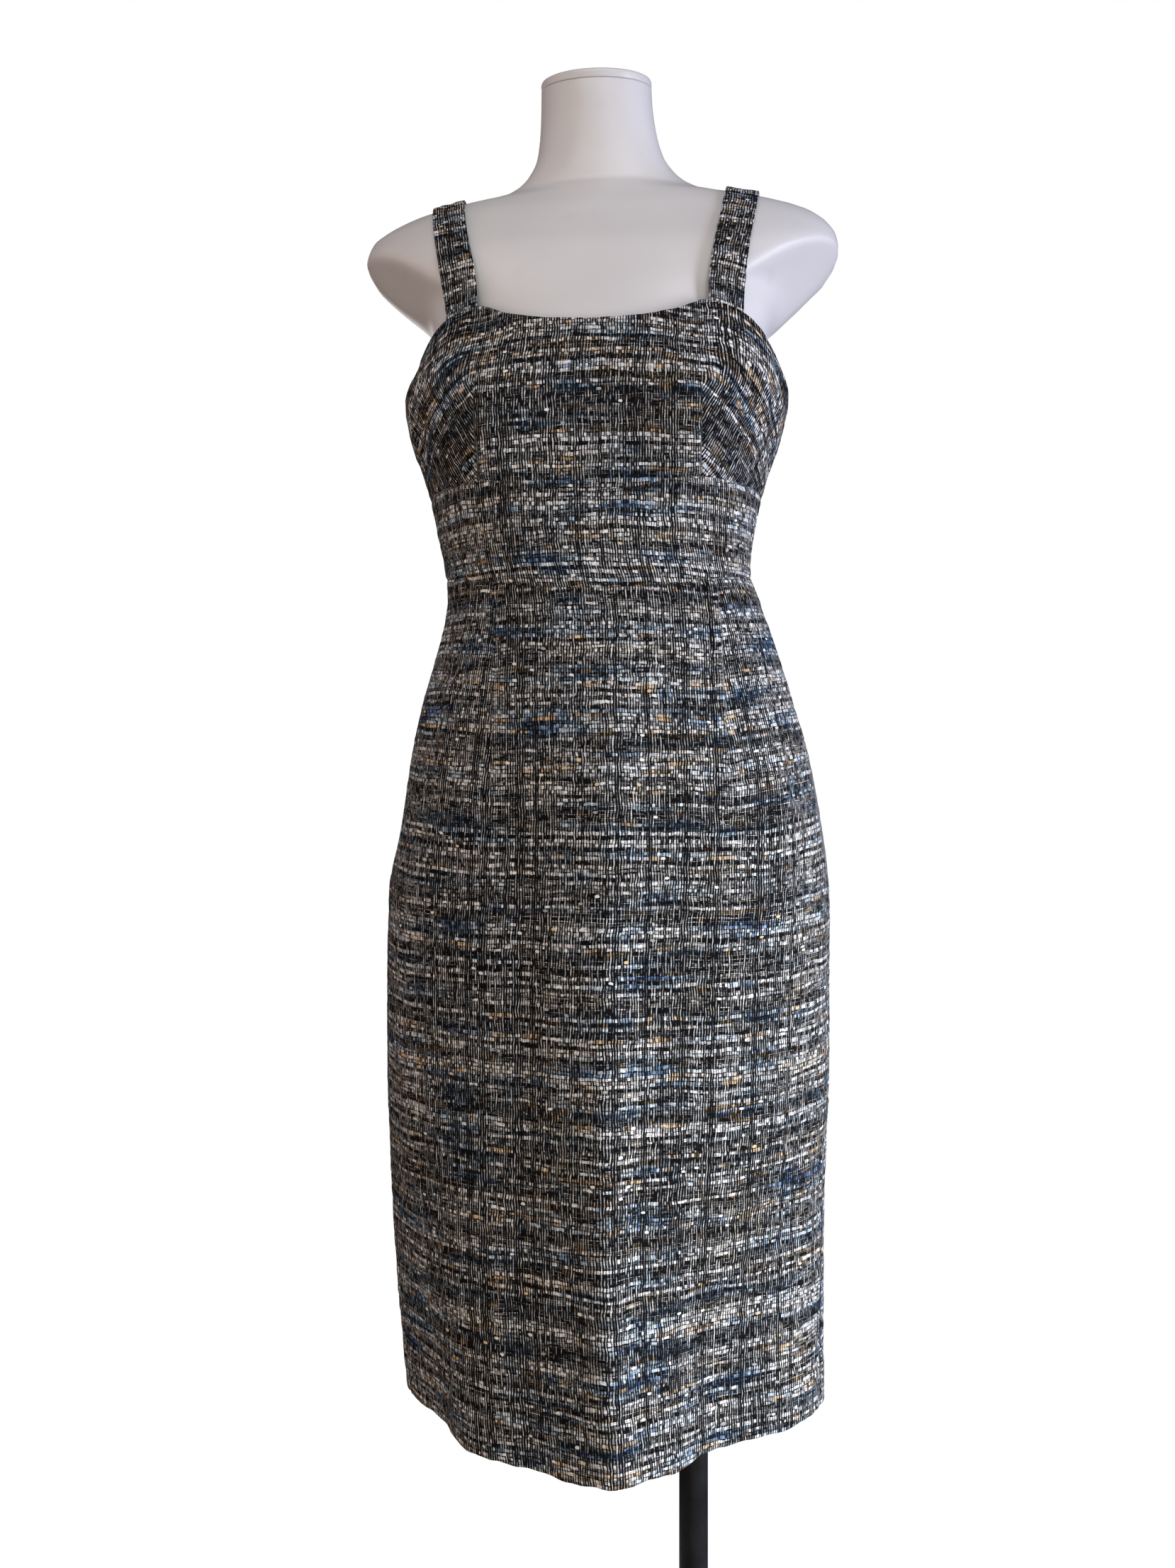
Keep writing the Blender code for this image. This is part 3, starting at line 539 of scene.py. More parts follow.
def dense(count):
    """Steps from 0 to 1, crowded towards both ends."""
    step = np.linspace(0.0, 1.0, count + 1)
    return step - CROWDING * np.sin(2.0 * math.pi * step) / (2.0 * math.pi)


def columns_between(rows, lines, counts):
    """The angles of a panel's columns, between upright lines of one angle or one for each row."""
    lines = [np.broadcast_to(line, rows)[:, None] for line in lines]
    zones = [left + (right - left) * dense(count)[:-1]
             for left, right, count in zip(lines, lines[1:], counts)]
    return np.concatenate((*zones, lines[-1]), axis=1)


def angles_at(height, x):
    """The angles on the front of the dress where it has a given x, one for each height."""
    sweep = np.linspace(-80.0, 80.0, 801)
    across = dress_skin(height[:, None], sweep[None, :])[..., 0]
    return np.array([np.interp(place, row, sweep) for place, row in zip(x, across)])


def between_seams(low, high, angle, shares):
    """The heights of a panel's grid between two seams round the body."""
    return low(angle) + (high(angle) - low(angle)) * shares[:, None]


def creases_in(creases, height, angle):
    rise = np.zeros_like(angle)
    for crease in creases:
        share = np.clip((height - crease.low) / (crease.high - crease.low), 0.0, 1.0)
        line = crease.angle + crease.slant * share
        across = mound(turn_between(angle, line), crease.spread)
        rise += crease.rise * np.sin(math.pi * share) * across
    return rise


def nubs(points, seed):
    """The uneven lie of thick and thin yarns, a fifth of a millimetre up and down."""
    draw = np.random.default_rng(int(seed))
    rise = np.zeros(points.shape[:2])
    for _ in range(NUB_WAVES):
        waves = draw.uniform(-NUB_FINEST, NUB_FINEST, 3)
        rise += np.sin(points @ waves + draw.uniform(0.0, 6.28))
    return rise * NUB_RISE


def sewn(distance, depth=SEAM_SINK, spread=SEAM_SPREAD):
    """How far cloth is drawn in beside a seam."""
    return -depth * mound(distance, spread)


def puckered(along, first, second, start):
    return 1.0 + PUCKER * np.sin(along * first) * np.sin(along * second + start)


def sewn_edges(points, bottom=1.0, top=1.0):
    """The cloth drawn in at a panel's sewn edges, a little more at some stitches than at others."""
    across = run_along(points, 1)
    along = run_along(points, 0)
    sides = sewn(across) + sewn(across[:, -1:] - across)
    ends = bottom * sewn(along) + top * sewn(along[-1:] - along)
    return sides * puckered(along, *PUCKERS_UP) + ends * puckered(across, *PUCKERS_ACROSS)


def drawn_in(points, column):
    """How far cloth is drawn in beside a dart that follows a column of its grid."""
    across = run_along(points, 1)
    return sewn(across - across[:, column:column + 1], DART_SINK, DART_SPREAD)


def weave_flat(points, angle, shift):
    """Lays a panel flat: how far along its weft and its warp each point lies, from its middle."""
    across = run_along(points, 1)
    middle = np.array([np.interp(0.0, row, line) for row, line in zip(angle, across)])
    start = points[:1, :, 2] - points[0, points.shape[1] // 2, 2]
    flat = np.stack((across - middle[:, None], run_along(points, 0) + start), axis=-1)
    return flat + shift


def dart_turned(flat, apex, dart):
    """Turns the weave outside a dart about its apex, not at all past it and fully at the dart."""
    way = (dart.side, -math.copysign(1.0, dart.fade))
    away = (flat - apex) * way
    bearing = np.arctan2(away[..., 0], away[..., 1])
    bearing = bearing - math.radians(dart.turn) * smooth(0.0, DART_REACH, bearing)
    direction = np.stack((np.sin(bearing), np.cos(bearing)), axis=-1)
    return direction * np.hypot(away[..., 0], away[..., 1])[..., None] * way + apex


def front_panel(low, high, shares, side_edge, darts, counts):
    """The grid of a front panel, with columns that run along its two darts."""
    heights = between_seams(low, high, ROWS_READ_AT, shares)[:, 0]
    lines = []
    for dart in darts:
        share = np.clip((dart.base - heights) / (dart.base - dart.apex), 0.0, 1.0)
        lines.append(angles_at(heights, dart.base_x + (dart.apex_x - dart.base_x) * share))
    side = side_edge(heights)
    angle = columns_between(len(shares), (-side, *lines, side), counts)
    height = between_seams(low, high, angle, shares)
    return height, angle, dress_skin(height, angle)


def with_darts(points, height, flat, rise, darts, counts):
    """Draws a front panel in along its darts, and gives the weave map of each zone of columns."""
    starts = np.cumsum((0, *counts[:-1]))
    maps = []
    for dart, column in zip(darts, starts[1:]):
        apex = flat[np.argmin(np.abs(height[:, column] - dart.apex)), column]
        maps.append(dart_turned(flat, apex, dart))
        fade = smooth(dart.apex, dart.apex + dart.fade, height)
        rise = rise + drawn_in(points, column) * fade
    return list(zip(starts, (maps[0], flat, maps[1]))), rise


def cloth_wall(piece, points, depths):
    """Gives a piece of cloth its thickness inward: one for all of it or one for each row."""
    rows, columns = points.shape[:2]
    deepest = float(np.max(depths))
    group = piece.vertex_groups.new(name="depth")
    for row, depth in enumerate(np.broadcast_to(depths, rows)):
        group.add(range(row * columns, (row + 1) * columns), float(depth) / deepest, "REPLACE")
    wall = piece.modifiers.new("wall", "SOLIDIFY")
    wall.thickness = deepest
    wall.offset = -1.0
    wall.use_even_offset = True
    wall.vertex_group = "depth"
    edges = piece.modifiers.new("edges", "BEVEL")
    edges.width = WALL_EDGE
    edges.segments = 2
    edges.limit_method = "ANGLE"
    edges.angle_limit = WALL_EDGE_FROM


def tweed_piece(node, points, weaves, rise, depths=CLOTH, kind="tweed"):
    """A panel of tweed with its rises and its weave."""
    shape = quad_grid(points + outward(points) * rise[..., None], weaves)
    piece = finished(f"{node}_{kind}", shape, tweed, node)
    cloth_wall(piece, points, depths)
    return piece


# The weave's sizes, in metres on the flat cloth.
PICK = 0.0031
END = 0.0021
NUB_LENGTH = 0.0044
ENDS_DRIFT = 0.0022
PICKS_DRIFT = 0.0042
SLUB = SimpleNamespace(start=-0.435, swell=0.55, band=0.30, row=0.95, full=0.80, thinnest=0.12,
                       growth=0.28)
YARN_EDGE = 0.06
FLOAT_WIDTH = 0.18
GOLD_SHARE = 0.36
NUB_SHARE = 0.016
GOLD = (0.90, 0.60, 0.32, 1.0)
GROUND = (0.004, 0.004, 0.005, 1.0)
YARN_HUES = [
    (0.00, (0.90, 0.76, 0.60)), (0.20, (0.96, 0.93, 0.88)), (0.44, (0.90, 0.86, 0.86)),
    (0.60, (0.88, 0.93, 0.96)), (0.70, (0.56, 0.68, 0.80)), (0.80, (0.22, 0.33, 0.50)),
    (1.00, (0.06, 0.11, 0.24)),
]
ENDS = [(0.0, 0.02), (0.20, 0.10), (0.40, 0.24), (1.0, 0.31)]
BEADS = [(0.0, 0.02), (0.20, 0.22), (0.45, 0.72), (0.78, 1.0)]
NUBS = [
    (0.0, (0.88, 0.86, 0.82)), (0.40, (0.42, 0.42, 0.44)), (0.62, (0.21, 0.175, 0.18)),
    (0.80, (0.05, 0.05, 0.055)), (0.92, (0.80, 0.58, 0.34)),
]


def make_tweed():
    """Yarn by yarn from the flat weave map: u runs along the weft and v along the warp."""
    cloth = Finish("tweed", 0.95, Specular_IOR_Level=0.12)
    calc = cloth.math
    flat = cloth.node("UVMap", uv_map="weave").outputs[0]
    sides = cloth.node("SeparateXYZ", {0: flat}).outputs

    def times(first, second):
        return calc("MULTIPLY", first, second)

    def scaled(value, factor, start):
        return calc("MULTIPLY_ADD", value, factor, start)

    def noise_at(along, up, detail):
        place = cloth.node("CombineXYZ", {0: along, 1: up}).outputs[0]
        return cloth.noise(place, 1.0, detail, "2D")

    def field(along, up, seed, detail=1.0):
        """A noise with so many waves a metre along and up the cloth."""
        return noise_at(scaled(sides[0], along, seed), scaled(sides[1], up, seed), detail)

    def run(first, first_scale, second, second_scale, detail=1.0):
        """A noise that goes along one yarn and differs between yarns."""
        return noise_at(times(first, first_scale), times(second, second_scale), detail)

    def drifted(value, size, *waves):
        return scaled(calc("SUBTRACT", field(*waves), 0.5), size, value)

    def drawn(first, second, seed):
        """Three even random numbers for one cell of the cloth."""
        place = cloth.node("CombineXYZ", {0: first, 1: second, 2: seed}).outputs[0]
        made = cloth.node("TexWhiteNoise", {"Vector": place}, noise_dimensions="3D")
        return cloth.node("SeparateColor", {0: made.outputs[1]}).outputs

    def cells(value, size):
        """The number of a yarn, and the place in its width from -0.5 to 0.5."""
        counted = calc("DIVIDE", value, size)
        return calc("FLOOR", counted), calc("SUBTRACT", calc("FRACT", counted), 0.5)

    def shared(value, low, high):
        return cloth.between(value, low, high, curve="LINEAR")

    def within(distance, half, edge=YARN_EDGE):
        return cloth.between(calc("SUBTRACT", distance, half), -edge, edge, 1.0, 0.0)

    u = drifted(sides[0], ENDS_DRIFT, 60.0, 90.0, 3.0)
    v = drifted(sides[1], PICKS_DRIFT, 26.0, 60.0, 9.0)
    row, in_row = cells(v, PICK)
    thin, in_thin = cells(calc("ADD", v, PICK / 2.0), PICK)
    end, in_end = cells(u, END)
    aside = calc("ABSOLUTE", in_end)
    of_row = drawn(row, 0.0, 1.0)
    of_end = drawn(end, 0.0, 2.0)
    of_cross = drawn(end, row, 3.0)
    up = calc("ABSOLUTE", scaled(calc("SUBTRACT", of_cross[0], 0.5), 0.20, in_row))

    # How thick the slub is: more in some rows, bands of rows and stretches of a row.
    band = shared(field(7.0, 95.0, 21.0, 2.0), 0.30, 0.70)
    swell = shared(run(u, 30.0, row, 17.31, 2.0), 0.28, 0.72)
    slub = calc("ADD", scaled(swell, SLUB.swell, SLUB.start),
                scaled(band, SLUB.band, times(of_row[0], SLUB.row)))
    slub = shared(slub, 0.0, SLUB.full)
    half = scaled(slub, SLUB.growth, SLUB.thinnest)

    # The yarns' colour: cream to navy, with golden runs in some rows.
    zone = shared(field(14.0, 60.0, 33.0), 0.22, 0.84)
    hue = scaled(of_row[1], 0.22, times(zone, 0.78))
    hue = scaled(calc("SUBTRACT", of_cross[2], 0.5), 0.30, hue)
    gold = cloth.between(run(u, 42.0, row, 7.77), 0.56, 0.68, 0.0, 0.85)
    gold = times(gold, calc("LESS_THAN", of_row[2], GOLD_SHARE))
    tint = cloth.mix(gold, cloth.ramp(hue, YARN_HUES), GOLD)

    # Beads of slub between the black ends, some wide enough to float over them.
    wide = scaled(of_cross[1], 0.08, cloth.ramp(of_end[0], ENDS))
    floats = times(shared(of_cross[1], 0.80, 0.92), shared(slub, 0.45, 0.85))
    wide = scaled(floats, FLOAT_WIDTH, wide)
    bead_shape = times(within(aside, wide), within(up, half))
    bead_light = times(calc("POWER", shared(slub, 0.10, 0.80), 1.4), cloth.ramp(of_cross[1], BEADS))
    bead_light = times(bead_light, bead_shape)

    # Thin picks between the slubs, and light ends that come up in dashes.
    of_thin = drawn(thin, 0.0, 4.0)
    fine = times(shared(run(u, 80.0, thin, 13.1), 0.44, 0.60), scaled(of_thin[0], 0.8, 0.2))
    fine_shape = within(calc("ABSOLUTE", in_thin), scaled(of_thin[1], 0.05, 0.06), 0.05)
    fine_light = times(times(fine, fine_shape), within(aside, wide))
    upright = shared(run(end, 13.7, v, 130.0, 2.0), 0.42, 0.68)
    end_shape = within(aside, scaled(of_end[1], 0.07, 0.12))
    end_light = times(times(upright, scaled(of_end[2], 0.8, 0.3)), end_shape)

    twist = cloth.between(field(520.0, 900.0, 51.0), 0.34, 0.50, 0.55, 1.0)
    lit = calc("MAXIMUM", calc("MAXIMUM", bead_light, fine_light), end_light)
    shown = cloth.mix(times(lit, twist), GROUND, tint)

    along_nub = scaled(of_row[2], 5.0, calc("DIVIDE", u, NUB_LENGTH))
    of_nub = drawn(calc("FLOOR", along_nub), row, 7.0)
    nub_aside = times(calc("ABSOLUTE", calc("SUBTRACT", calc("FRACT", along_nub), 0.5)), 2.4)
    off_nub = calc("ADD", calc("POWER", nub_aside, 2.4), calc("POWER", times(up, 2.8), 2.4))
    nub = times(cloth.between(off_nub, 0.7, 1.1, 1.0, 0.0), calc("LESS_THAN", of_nub[0], NUB_SHARE))
    cloth.colour(cloth.mix(nub, shown, cloth.ramp(of_nub[1], NUBS, "CONSTANT")))

    raised = calc("MAXIMUM", times(bead_shape, slub), times(end_shape, 0.3))
    cloth.relief(calc("MAXIMUM", raised, nub), 0.0006, 0.7)
    return cloth


tweed = make_tweed()

shares = dense(BODICE_ROWS)
height, angle, points = front_panel(underbust, front_top, shares, lambda heights: SIDE_SEAM,
                                    BUST_DARTS, BODICE_COLUMNS)
flat = weave_flat(points, angle, (0.0, 2.0))
rise = nubs(points, 1) + creases_in(BODICE_CREASES, height, angle) + sewn_edges(points, top=0.0)
weaves, rise = with_darts(points, height, flat, rise, BUST_DARTS, BODICE_COLUMNS)
piece = tweed_piece("bodice_front", points, weaves, rise,
                    CLOTH + TOP_TURNED_IN * smooth(0.945, 0.975, shares))

# ------------ bodice backs
# The bodice's two halves behind, sewn to the front at the sides and to the zip at the centre
# back. A dart in each takes in the cloth under the shoulder blade.

BACK_NECKLINE = 1.334
BACK_STRAP_BASE = 1.349
BACK_TOP = [
    (0, BACK_NECKLINE), (20, BACK_NECKLINE + 0.001), (36, BACK_NECKLINE + 0.007),
    (STRAP_INNER, BACK_STRAP_BASE), (STRAP_OUTER, BACK_STRAP_BASE - 0.002), (70, 1.336),
    (82, 1.322), (95, UNDERARM), (100, UNDERARM - 0.001),
]
BACK_BODICE_CREASES = [Crease(*row) for row in (
    (96, 1.240, 1.300, -0.0013, 3, 2),
    (-99, 1.238, 1.306, -0.0015, 3.2, -2),
    (150, 1.236, 1.300, 0.0010, 6, 5),
    (-147, 1.240, 1.310, 0.0012, 6.5, -4),
    (118, 1.256, 1.318, -0.0009, 5, -6),
    (-123, 1.250, 1.322, -0.0010, 5.5, 5),
)]
BACK_DART = 141.0
BACK_BODICE_ROWS = 56
BACK_BODICE_COLUMNS = (46, 34)
back_top = edge(BACK_TOP, 180.0)
BACK_SPANS = {"left": (1.0, SIDE_SEAM, 180.0), "right": (-1.0, -180.0, -SIDE_SEAM)}


def back_panel(low, high, shares, counts, side, first, last):
    """The grid of one half of the back, and how far its dart draws each point in."""
    counts = counts[::int(side)]
    angle = columns_between(len(shares), (first, side * BACK_DART, last), counts)
    height = between_seams(low, high, angle, shares)
    points = dress_skin(height, angle)
    return height, angle, points, drawn_in(points, counts[0])


for name, (side, first, last) in BACK_SPANS.items():
    shares = dense(BACK_BODICE_ROWS)
    height, angle, points, dart = back_panel(underbust, back_top, shares, BACK_BODICE_COLUMNS,
                                             side, first, last)
    rise = nubs(points, 2 + side) + creases_in(BACK_BODICE_CREASES, height, angle)
    rise += sewn_edges(points, top=0.0) + dart * smooth(1.285, 1.250, height)
    flat = weave_flat(points, angle, (side * 0.7, 3.0))
    piece = tweed_piece(f"bodice_back_{name}", points, [(0, flat)], rise,
                        CLOTH + TOP_TURNED_IN * smooth(0.94, 0.97, shares))

# ------------ midriff
# A band of tweed, one piece in front and two behind, between the seam under the bust and the
# waist seam. It is cut along the weft like the rest and lies close to the body.

WAIST = 1.141
WAIST_SEAM = [
    (0, WAIST), (30, WAIST + 0.003), (60, WAIST + 0.013), (85, WAIST + 0.020),
    (120, WAIST + 0.019), (180, WAIST + 0.014),
]
MIDRIFF_CREASES = [Crease(*row) for row in (
    (-62, 1.158, 1.216, -0.0008, 7, 9),
    (58, 1.152, 1.210, -0.0007, 7, -8),
    (-18, 1.150, 1.200, 0.0006, 9, 4),
    (24, 1.152, 1.204, -0.0005, 8, 3),
    (120, 1.170, 1.220, -0.0009, 7, 8),
    (-128, 1.168, 1.222, -0.0008, 8, -7),
)]


waist = edge(WAIST_SEAM)
MIDRIFF_ROWS = 36
MIDRIFF = [("front", -SIDE_SEAM, SIDE_SEAM, 150, (0.362, 0.078), 0.0258),
           ("back_left", SIDE_SEAM, 180.0, 76, (0.203, 0.074), 0.0138),
           ("back_right", -180.0, -SIDE_SEAM, 76, (0.203, 0.074), 0.0138)]
for number, (name, first, last, columns, cut, area) in enumerate(MIDRIFF):
    shares = dense(MIDRIFF_ROWS)
    angle = columns_between(len(shares), (first, last), (columns,))
    height = between_seams(waist, underbust, angle, shares)
    points = dress_skin(height, angle)
    rise = nubs(points, 5 + number) + creases_in(MIDRIFF_CREASES, height, angle)
    rise += sewn_edges(points)
    flat = weave_flat(points, angle, (number * 1.3, 4.0))
    piece = tweed_piece(f"midriff_{name}", points, [(0, flat)], rise)

# ------------ skirt front
# One long piece of tweed from the waist seam to the hem, taken in by two waist darts. It hangs
# in soft folds below the hips, and its hem is turned up and lies double.

HEM_SIDE_RISE = 0.006
HEM_FOLD = 0.036
POCKET_TOP = 1.046
POCKET_BOTTOM = 0.884
POCKET_GAPE = 3.2
SKIRT_ROWS = 220
SKIRT_COLUMNS = (44, 72, 44)
HEM_DOUBLE = 0.0016
HEM_STEP = 0.0005
SKIRT_CREASES = [Crease(*row) for row in (
    (59, 0.880, 1.056, 0.0016, 2.6, 2),
    (-58, 0.872, 1.060, 0.0014, 3, -2),
    (-24, 0.700, 0.980, -0.0016, 5, -3),
    (27, 0.720, 1.000, -0.0018, 5.5, 4),
    (-70, 0.560, 0.860, 0.0016, 4, 3),
    (70, 0.540, 0.820, -0.0016, 5, -3),
    (13, 0.470, 0.700, -0.0014, 5, 2),
    (-12, 0.460, 0.640, -0.0012, 5, -2),
    (-36, 0.480, 0.660, 0.0012, 6, 2),
)]
SKIRT_RIDGE = SimpleNamespace(angle=2.5, rise=0.0085, gentle=30.0, steep=16.0, tip=1.2)
HEM_WAVES = [(0.0009, 9, 0.7), (0.0006, 17, 2.1), (0.0004, 41, 4.0)]
SKIRT_DARTS = (Dart(-1.0, -0.0740, -0.0745, WAIST + 0.008, 0.985, 0.06, 7.0),
               Dart(1.0, 0.0885, 0.1070, WAIST + 0.008, 1.000, 0.06, 9.0))


def hem_line(angle):
    turn = np.abs(turn_between(angle, 0.0))
    rise = HEM_SIDE_RISE * smooth(25.0, 80.0, np.minimum(turn, 180.0 - turn))
    waves = sum(size * np.sin(np.radians(angle) * count + start)
                for size, count, start in HEM_WAVES)
    return HEM_HEIGHT + rise + waves


def mouth_share(height):
    """How far the pocket's mouth is open at a height, from 0 to 1."""
    share = (height - POCKET_BOTTOM) / (POCKET_TOP - POCKET_BOTTOM)
    return np.sin(math.pi * np.clip(share, 0.0, 1.0)) ** 0.7


def ridge_rise(height, angle, ridge=SKIRT_RIDGE):
    """The skirt's front breaks in one long ridge down its middle, steeper on the wearer's left."""
    turn = turn_between(angle, ridge.angle)
    off = np.hypot(turn, ridge.tip)
    spread = np.where(turn > 0.0, ridge.steep, ridge.gentle)
    tent = np.clip(1.0 - off / spread, 0.0, 1.0) - 0.45 * smooth(0.92, 0.62, height)
    return ridge.rise * tent * smooth(1.100, 0.980, height) * smooth(55.0, 28.0, off)


def hem_depths(shares, length):
    """The wall's thickness down a skirt's rows, double where the hem is turned up."""
    return CLOTH + HEM_DOUBLE * smooth(HEM_FOLD + 0.0045, HEM_FOLD + 0.0012, shares * length)


def hem_rise(points):
    """The line of hand stitches over the hem's upper edge shows as a faint step."""
    along = run_along(points, 0)
    step = HEM_STEP * smooth(HEM_FOLD + 0.003, HEM_FOLD - 0.003, along)
    return step + sewn(along, HEM_STEP, 0.0012)


def skirt_edge(height):
    """The angle of the skirt front's side edges, drawn back along the pockets' mouths."""
    return SIDE_SEAM - POCKET_GAPE * mouth_share(height)


shares = dense(SKIRT_ROWS)
height, angle, points = front_panel(hem_line, waist, shares, skirt_edge, SKIRT_DARTS, SKIRT_COLUMNS)
flat = weave_flat(points, angle, (5.0, 0.0))
rise = nubs(points, 8) + creases_in(SKIRT_CREASES, height, angle) + hem_rise(points)
rise += ridge_rise(height, angle)
rise += sewn_edges(points, bottom=0.0)
weaves, rise = with_darts(points, height, flat, rise, SKIRT_DARTS, SKIRT_COLUMNS)
piece = tweed_piece("skirt_front", points, weaves, rise, hem_depths(shares, 0.675))

# ------------ skirt backs
# The two halves of the skirt behind, joined below the zip by a plain centre back seam. They
# have a dart each, hang in their own soft folds and end in the same turned-up hem.

BACK_SKIRT_CREASES = [Crease(*row) for row in (
    (112, 0.620, 0.940, -0.0016, 6, 4),
    (134, 0.500, 0.760, 0.0016, 5, -4),
    (150, 0.640, 0.960, -0.0012, 6, 3),
    (168, 0.468, 0.720, 0.0014, 5, 2),
    (-108, 0.560, 0.900, 0.0014, 5, -3),
    (-128, 0.520, 0.820, -0.0018, 6, 4),
    (-146, 0.660, 0.960, -0.0012, 6, -3),
    (-165, 0.468, 0.740, 0.0014, 5, -3),
    (98, 0.700, 0.900, 0.0010, 4, 1),
)]
BACK_SKIRT_COLUMNS = (50, 36)

for name, (side, first, last) in BACK_SPANS.items():
    shares = dense(SKIRT_ROWS)
    height, angle, points, dart = back_panel(hem_line, waist, shares, BACK_SKIRT_COLUMNS, side,
                                             first, last)
    rise = nubs(points, 11 + side) + creases_in(BACK_SKIRT_CREASES, height, angle)
    rise += hem_rise(points) + sewn_edges(points, bottom=0.0)
    rise += dart * smooth(1.020, 1.070, height)
    flat = weave_flat(points, angle, (side * 2.1, 1.0))
    piece = tweed_piece(f"skirt_back_{name}", points, [(0, flat)], rise,
                        hem_depths(shares, 0.685))

# ------------ straps
# Flat bands of doubled tweed over the shoulders, the weft across them. Their ends are sewn in
# behind the bodice's top edge, in front and behind.

STRAP_WIDTH = 0.0275
STRAP_REST = 0.0012
STRAP_SETTLES = 0.22
STRAP_FOOT_X = 0.1050
STRAP_TOP_X = 0.1250
PIVOT_Y = 0.0080
PIVOT_HEIGHT = 1.340
STRAP_ROWS = 120
STRAP_COLUMNS = 14
STRAP_FINE_ROWS = 480
STRAP_NUBS = 1.3
STRAP_DIP = 0.0003
STRAP_DIP_SPREAD = 0.004
FARTHEST = 0.200
HALVINGS = 30
NEARBY = 0.001
WALL_NEARBY = (0.002, 0.8)


def form_value(points):
    """Below 1 inside the form, 1 on its surface and above 1 outside."""
    side, front, back, round_power, lean = section_at(FORM, points[..., 2])
    across = np.abs(points[..., 0] - lean) / side
    along = np.abs(points[..., 1] - (back - front) / 2.0) / ((front + back) / 2.0)
    return across ** round_power + along ** round_power


def form_outward(x, turn):
    """The form's surface over a strap's pivot, each point a turn round from front to back."""
    low = np.zeros_like(turn)
    high = np.full_like(turn, FARTHEST)
    for _ in range(HALVINGS):
        reach = (low + high) / 2.0
        points = np.stack((x, PIVOT_Y - reach * np.cos(turn), PIVOT_HEIGHT + reach * np.sin(turn)),
                          axis=-1)
        inside = form_value(points) < 1.0
        low = np.where(inside, reach, low)
        high = np.where(inside, high, reach)
    return points


def strap_line(side):
    """Even steps over one shoulder on the form's surface, from the front foot to the back."""
    wide, front, back, round_power, lean = section_at(FORM, np.array((STRAP_BASE, BACK_STRAP_BASE)))
    across = (np.abs(side * STRAP_FOOT_X - lean) / wide) ** round_power
    depth = (front + back) / 2.0 * (1.0 - across) ** (1.0 / round_power)
    depths = (back - front) / 2.0 + np.array((-1.0, 1.0)) * depth
    start = math.atan2(STRAP_BASE - PIVOT_HEIGHT, PIVOT_Y - depths[0])
    finish = math.pi - math.atan2(BACK_STRAP_BASE - PIVOT_HEIGHT, depths[1] - PIVOT_Y)
    share = np.linspace(0.0, 1.0, STRAP_FINE_ROWS + 1)
    x = STRAP_FOOT_X + (STRAP_TOP_X - STRAP_FOOT_X) * np.sin(math.pi * share) ** 2
    fine = form_outward(side * x, start + (finish - start) * share)
    length = run_along(fine, 0)
    even = np.linspace(0.0, length[-1], STRAP_ROWS + 1)
    return np.stack([np.interp(even, length, fine[:, axis]) for axis in range(3)], axis=-1)


def form_normal(points):
    """The form's outward direction at places on its surface."""
    slopes = [form_value(points + way) - form_value(points - way) for way in np.eye(3) * NEARBY]
    return unit(np.stack(slopes, axis=-1))


def dress_wall(height, angle, inward=0.0):
    """Points in the dress's wall, a distance inward of its outside."""
    higher, farther = WALL_NEARBY
    up = dress_skin(height + higher, angle) - dress_skin(height - higher, angle)
    turn = dress_skin(height, angle + farther) - dress_skin(height, angle - farther)
    facing = unit(np.cross(turn, up))
    return dress_skin(height, angle) - np.asarray(inward)[..., None] * facing


def strap_skin(side):
    """The outside of a strap: a band over the shoulder, drawn to the bodice at its feet."""
    line = strap_line(side)
    along = unit(np.gradient(line, axis=0))
    across = unit(np.cross(along, form_normal(line)))
    middle = line + unit(np.cross(across, along)) * (STRAP_REST + CLOTH)
    shares = np.linspace(0.0, 1.0, STRAP_COLUMNS + 1)
    band = middle[:, None] + across[:, None] * side * ((shares - 0.5) * STRAP_WIDTH)[:, None]
    angle = STRAP_INNER + (STRAP_OUTER - STRAP_INNER) * shares
    ends = ((0, FRONT_TOP, side * angle), (STRAP_ROWS, BACK_TOP, side * (180.0 - angle)))
    pulls = []
    for foot, rows, place in ends:
        goal = dress_wall(read_column(rows, 1, angle) + GAP, place)
        share = np.abs(np.arange(STRAP_ROWS + 1) - foot) / STRAP_ROWS
        pulls.append((goal - band[foot]) * (1.0 - smooth(0.0, STRAP_SETTLES, share))[:, None, None])
    return band + sum(pulls)


for name, side, length in (("left", 1.0, 0.343), ("right", -1.0, 0.335)):
    points = strap_skin(side)[:, ::int(side)]
    across = run_along(points, 1)
    rise = nubs(points, 14 + side) * STRAP_NUBS
    rise -= STRAP_DIP * mound(across - STRAP_WIDTH / 2.0, STRAP_DIP_SPREAD)
    flat = np.stack((across, run_along(points, 0)), axis=-1) + (6.0 + side, 2.0)
    piece = tweed_piece(f"strap_{name}", points, [(0, flat)], rise, kind="band")

# ------------ pockets
# Flat bags of lining behind the skirt's front in both side seams. A strip of each shows as a
# smooth facing in its mouth, which stands a little open.

LINING = 0.0012
UNDER_CLOTH = 0.0009
POCKET_FRONT = 58.0
POCKET_BACK = SIDE_SEAM - 0.30
POCKET_BAG = np.linspace(0.782, 1.066, 73)[:, None]
BAG_COLUMNS = 16
FACING_COLUMNS = 8
LINING_TONES = [(0.35, (0.085, 0.083, 0.090)), (0.70, (0.130, 0.128, 0.135))]

lining = Finish("lining", 0.60, Sheen_Weight=0.2)
lining.colour(lining.ramp(lining.grain(60.0, 3.0), LINING_TONES))
lining.relief(lining.grain(1500.0, 2.0), 0.0001, 0.3)


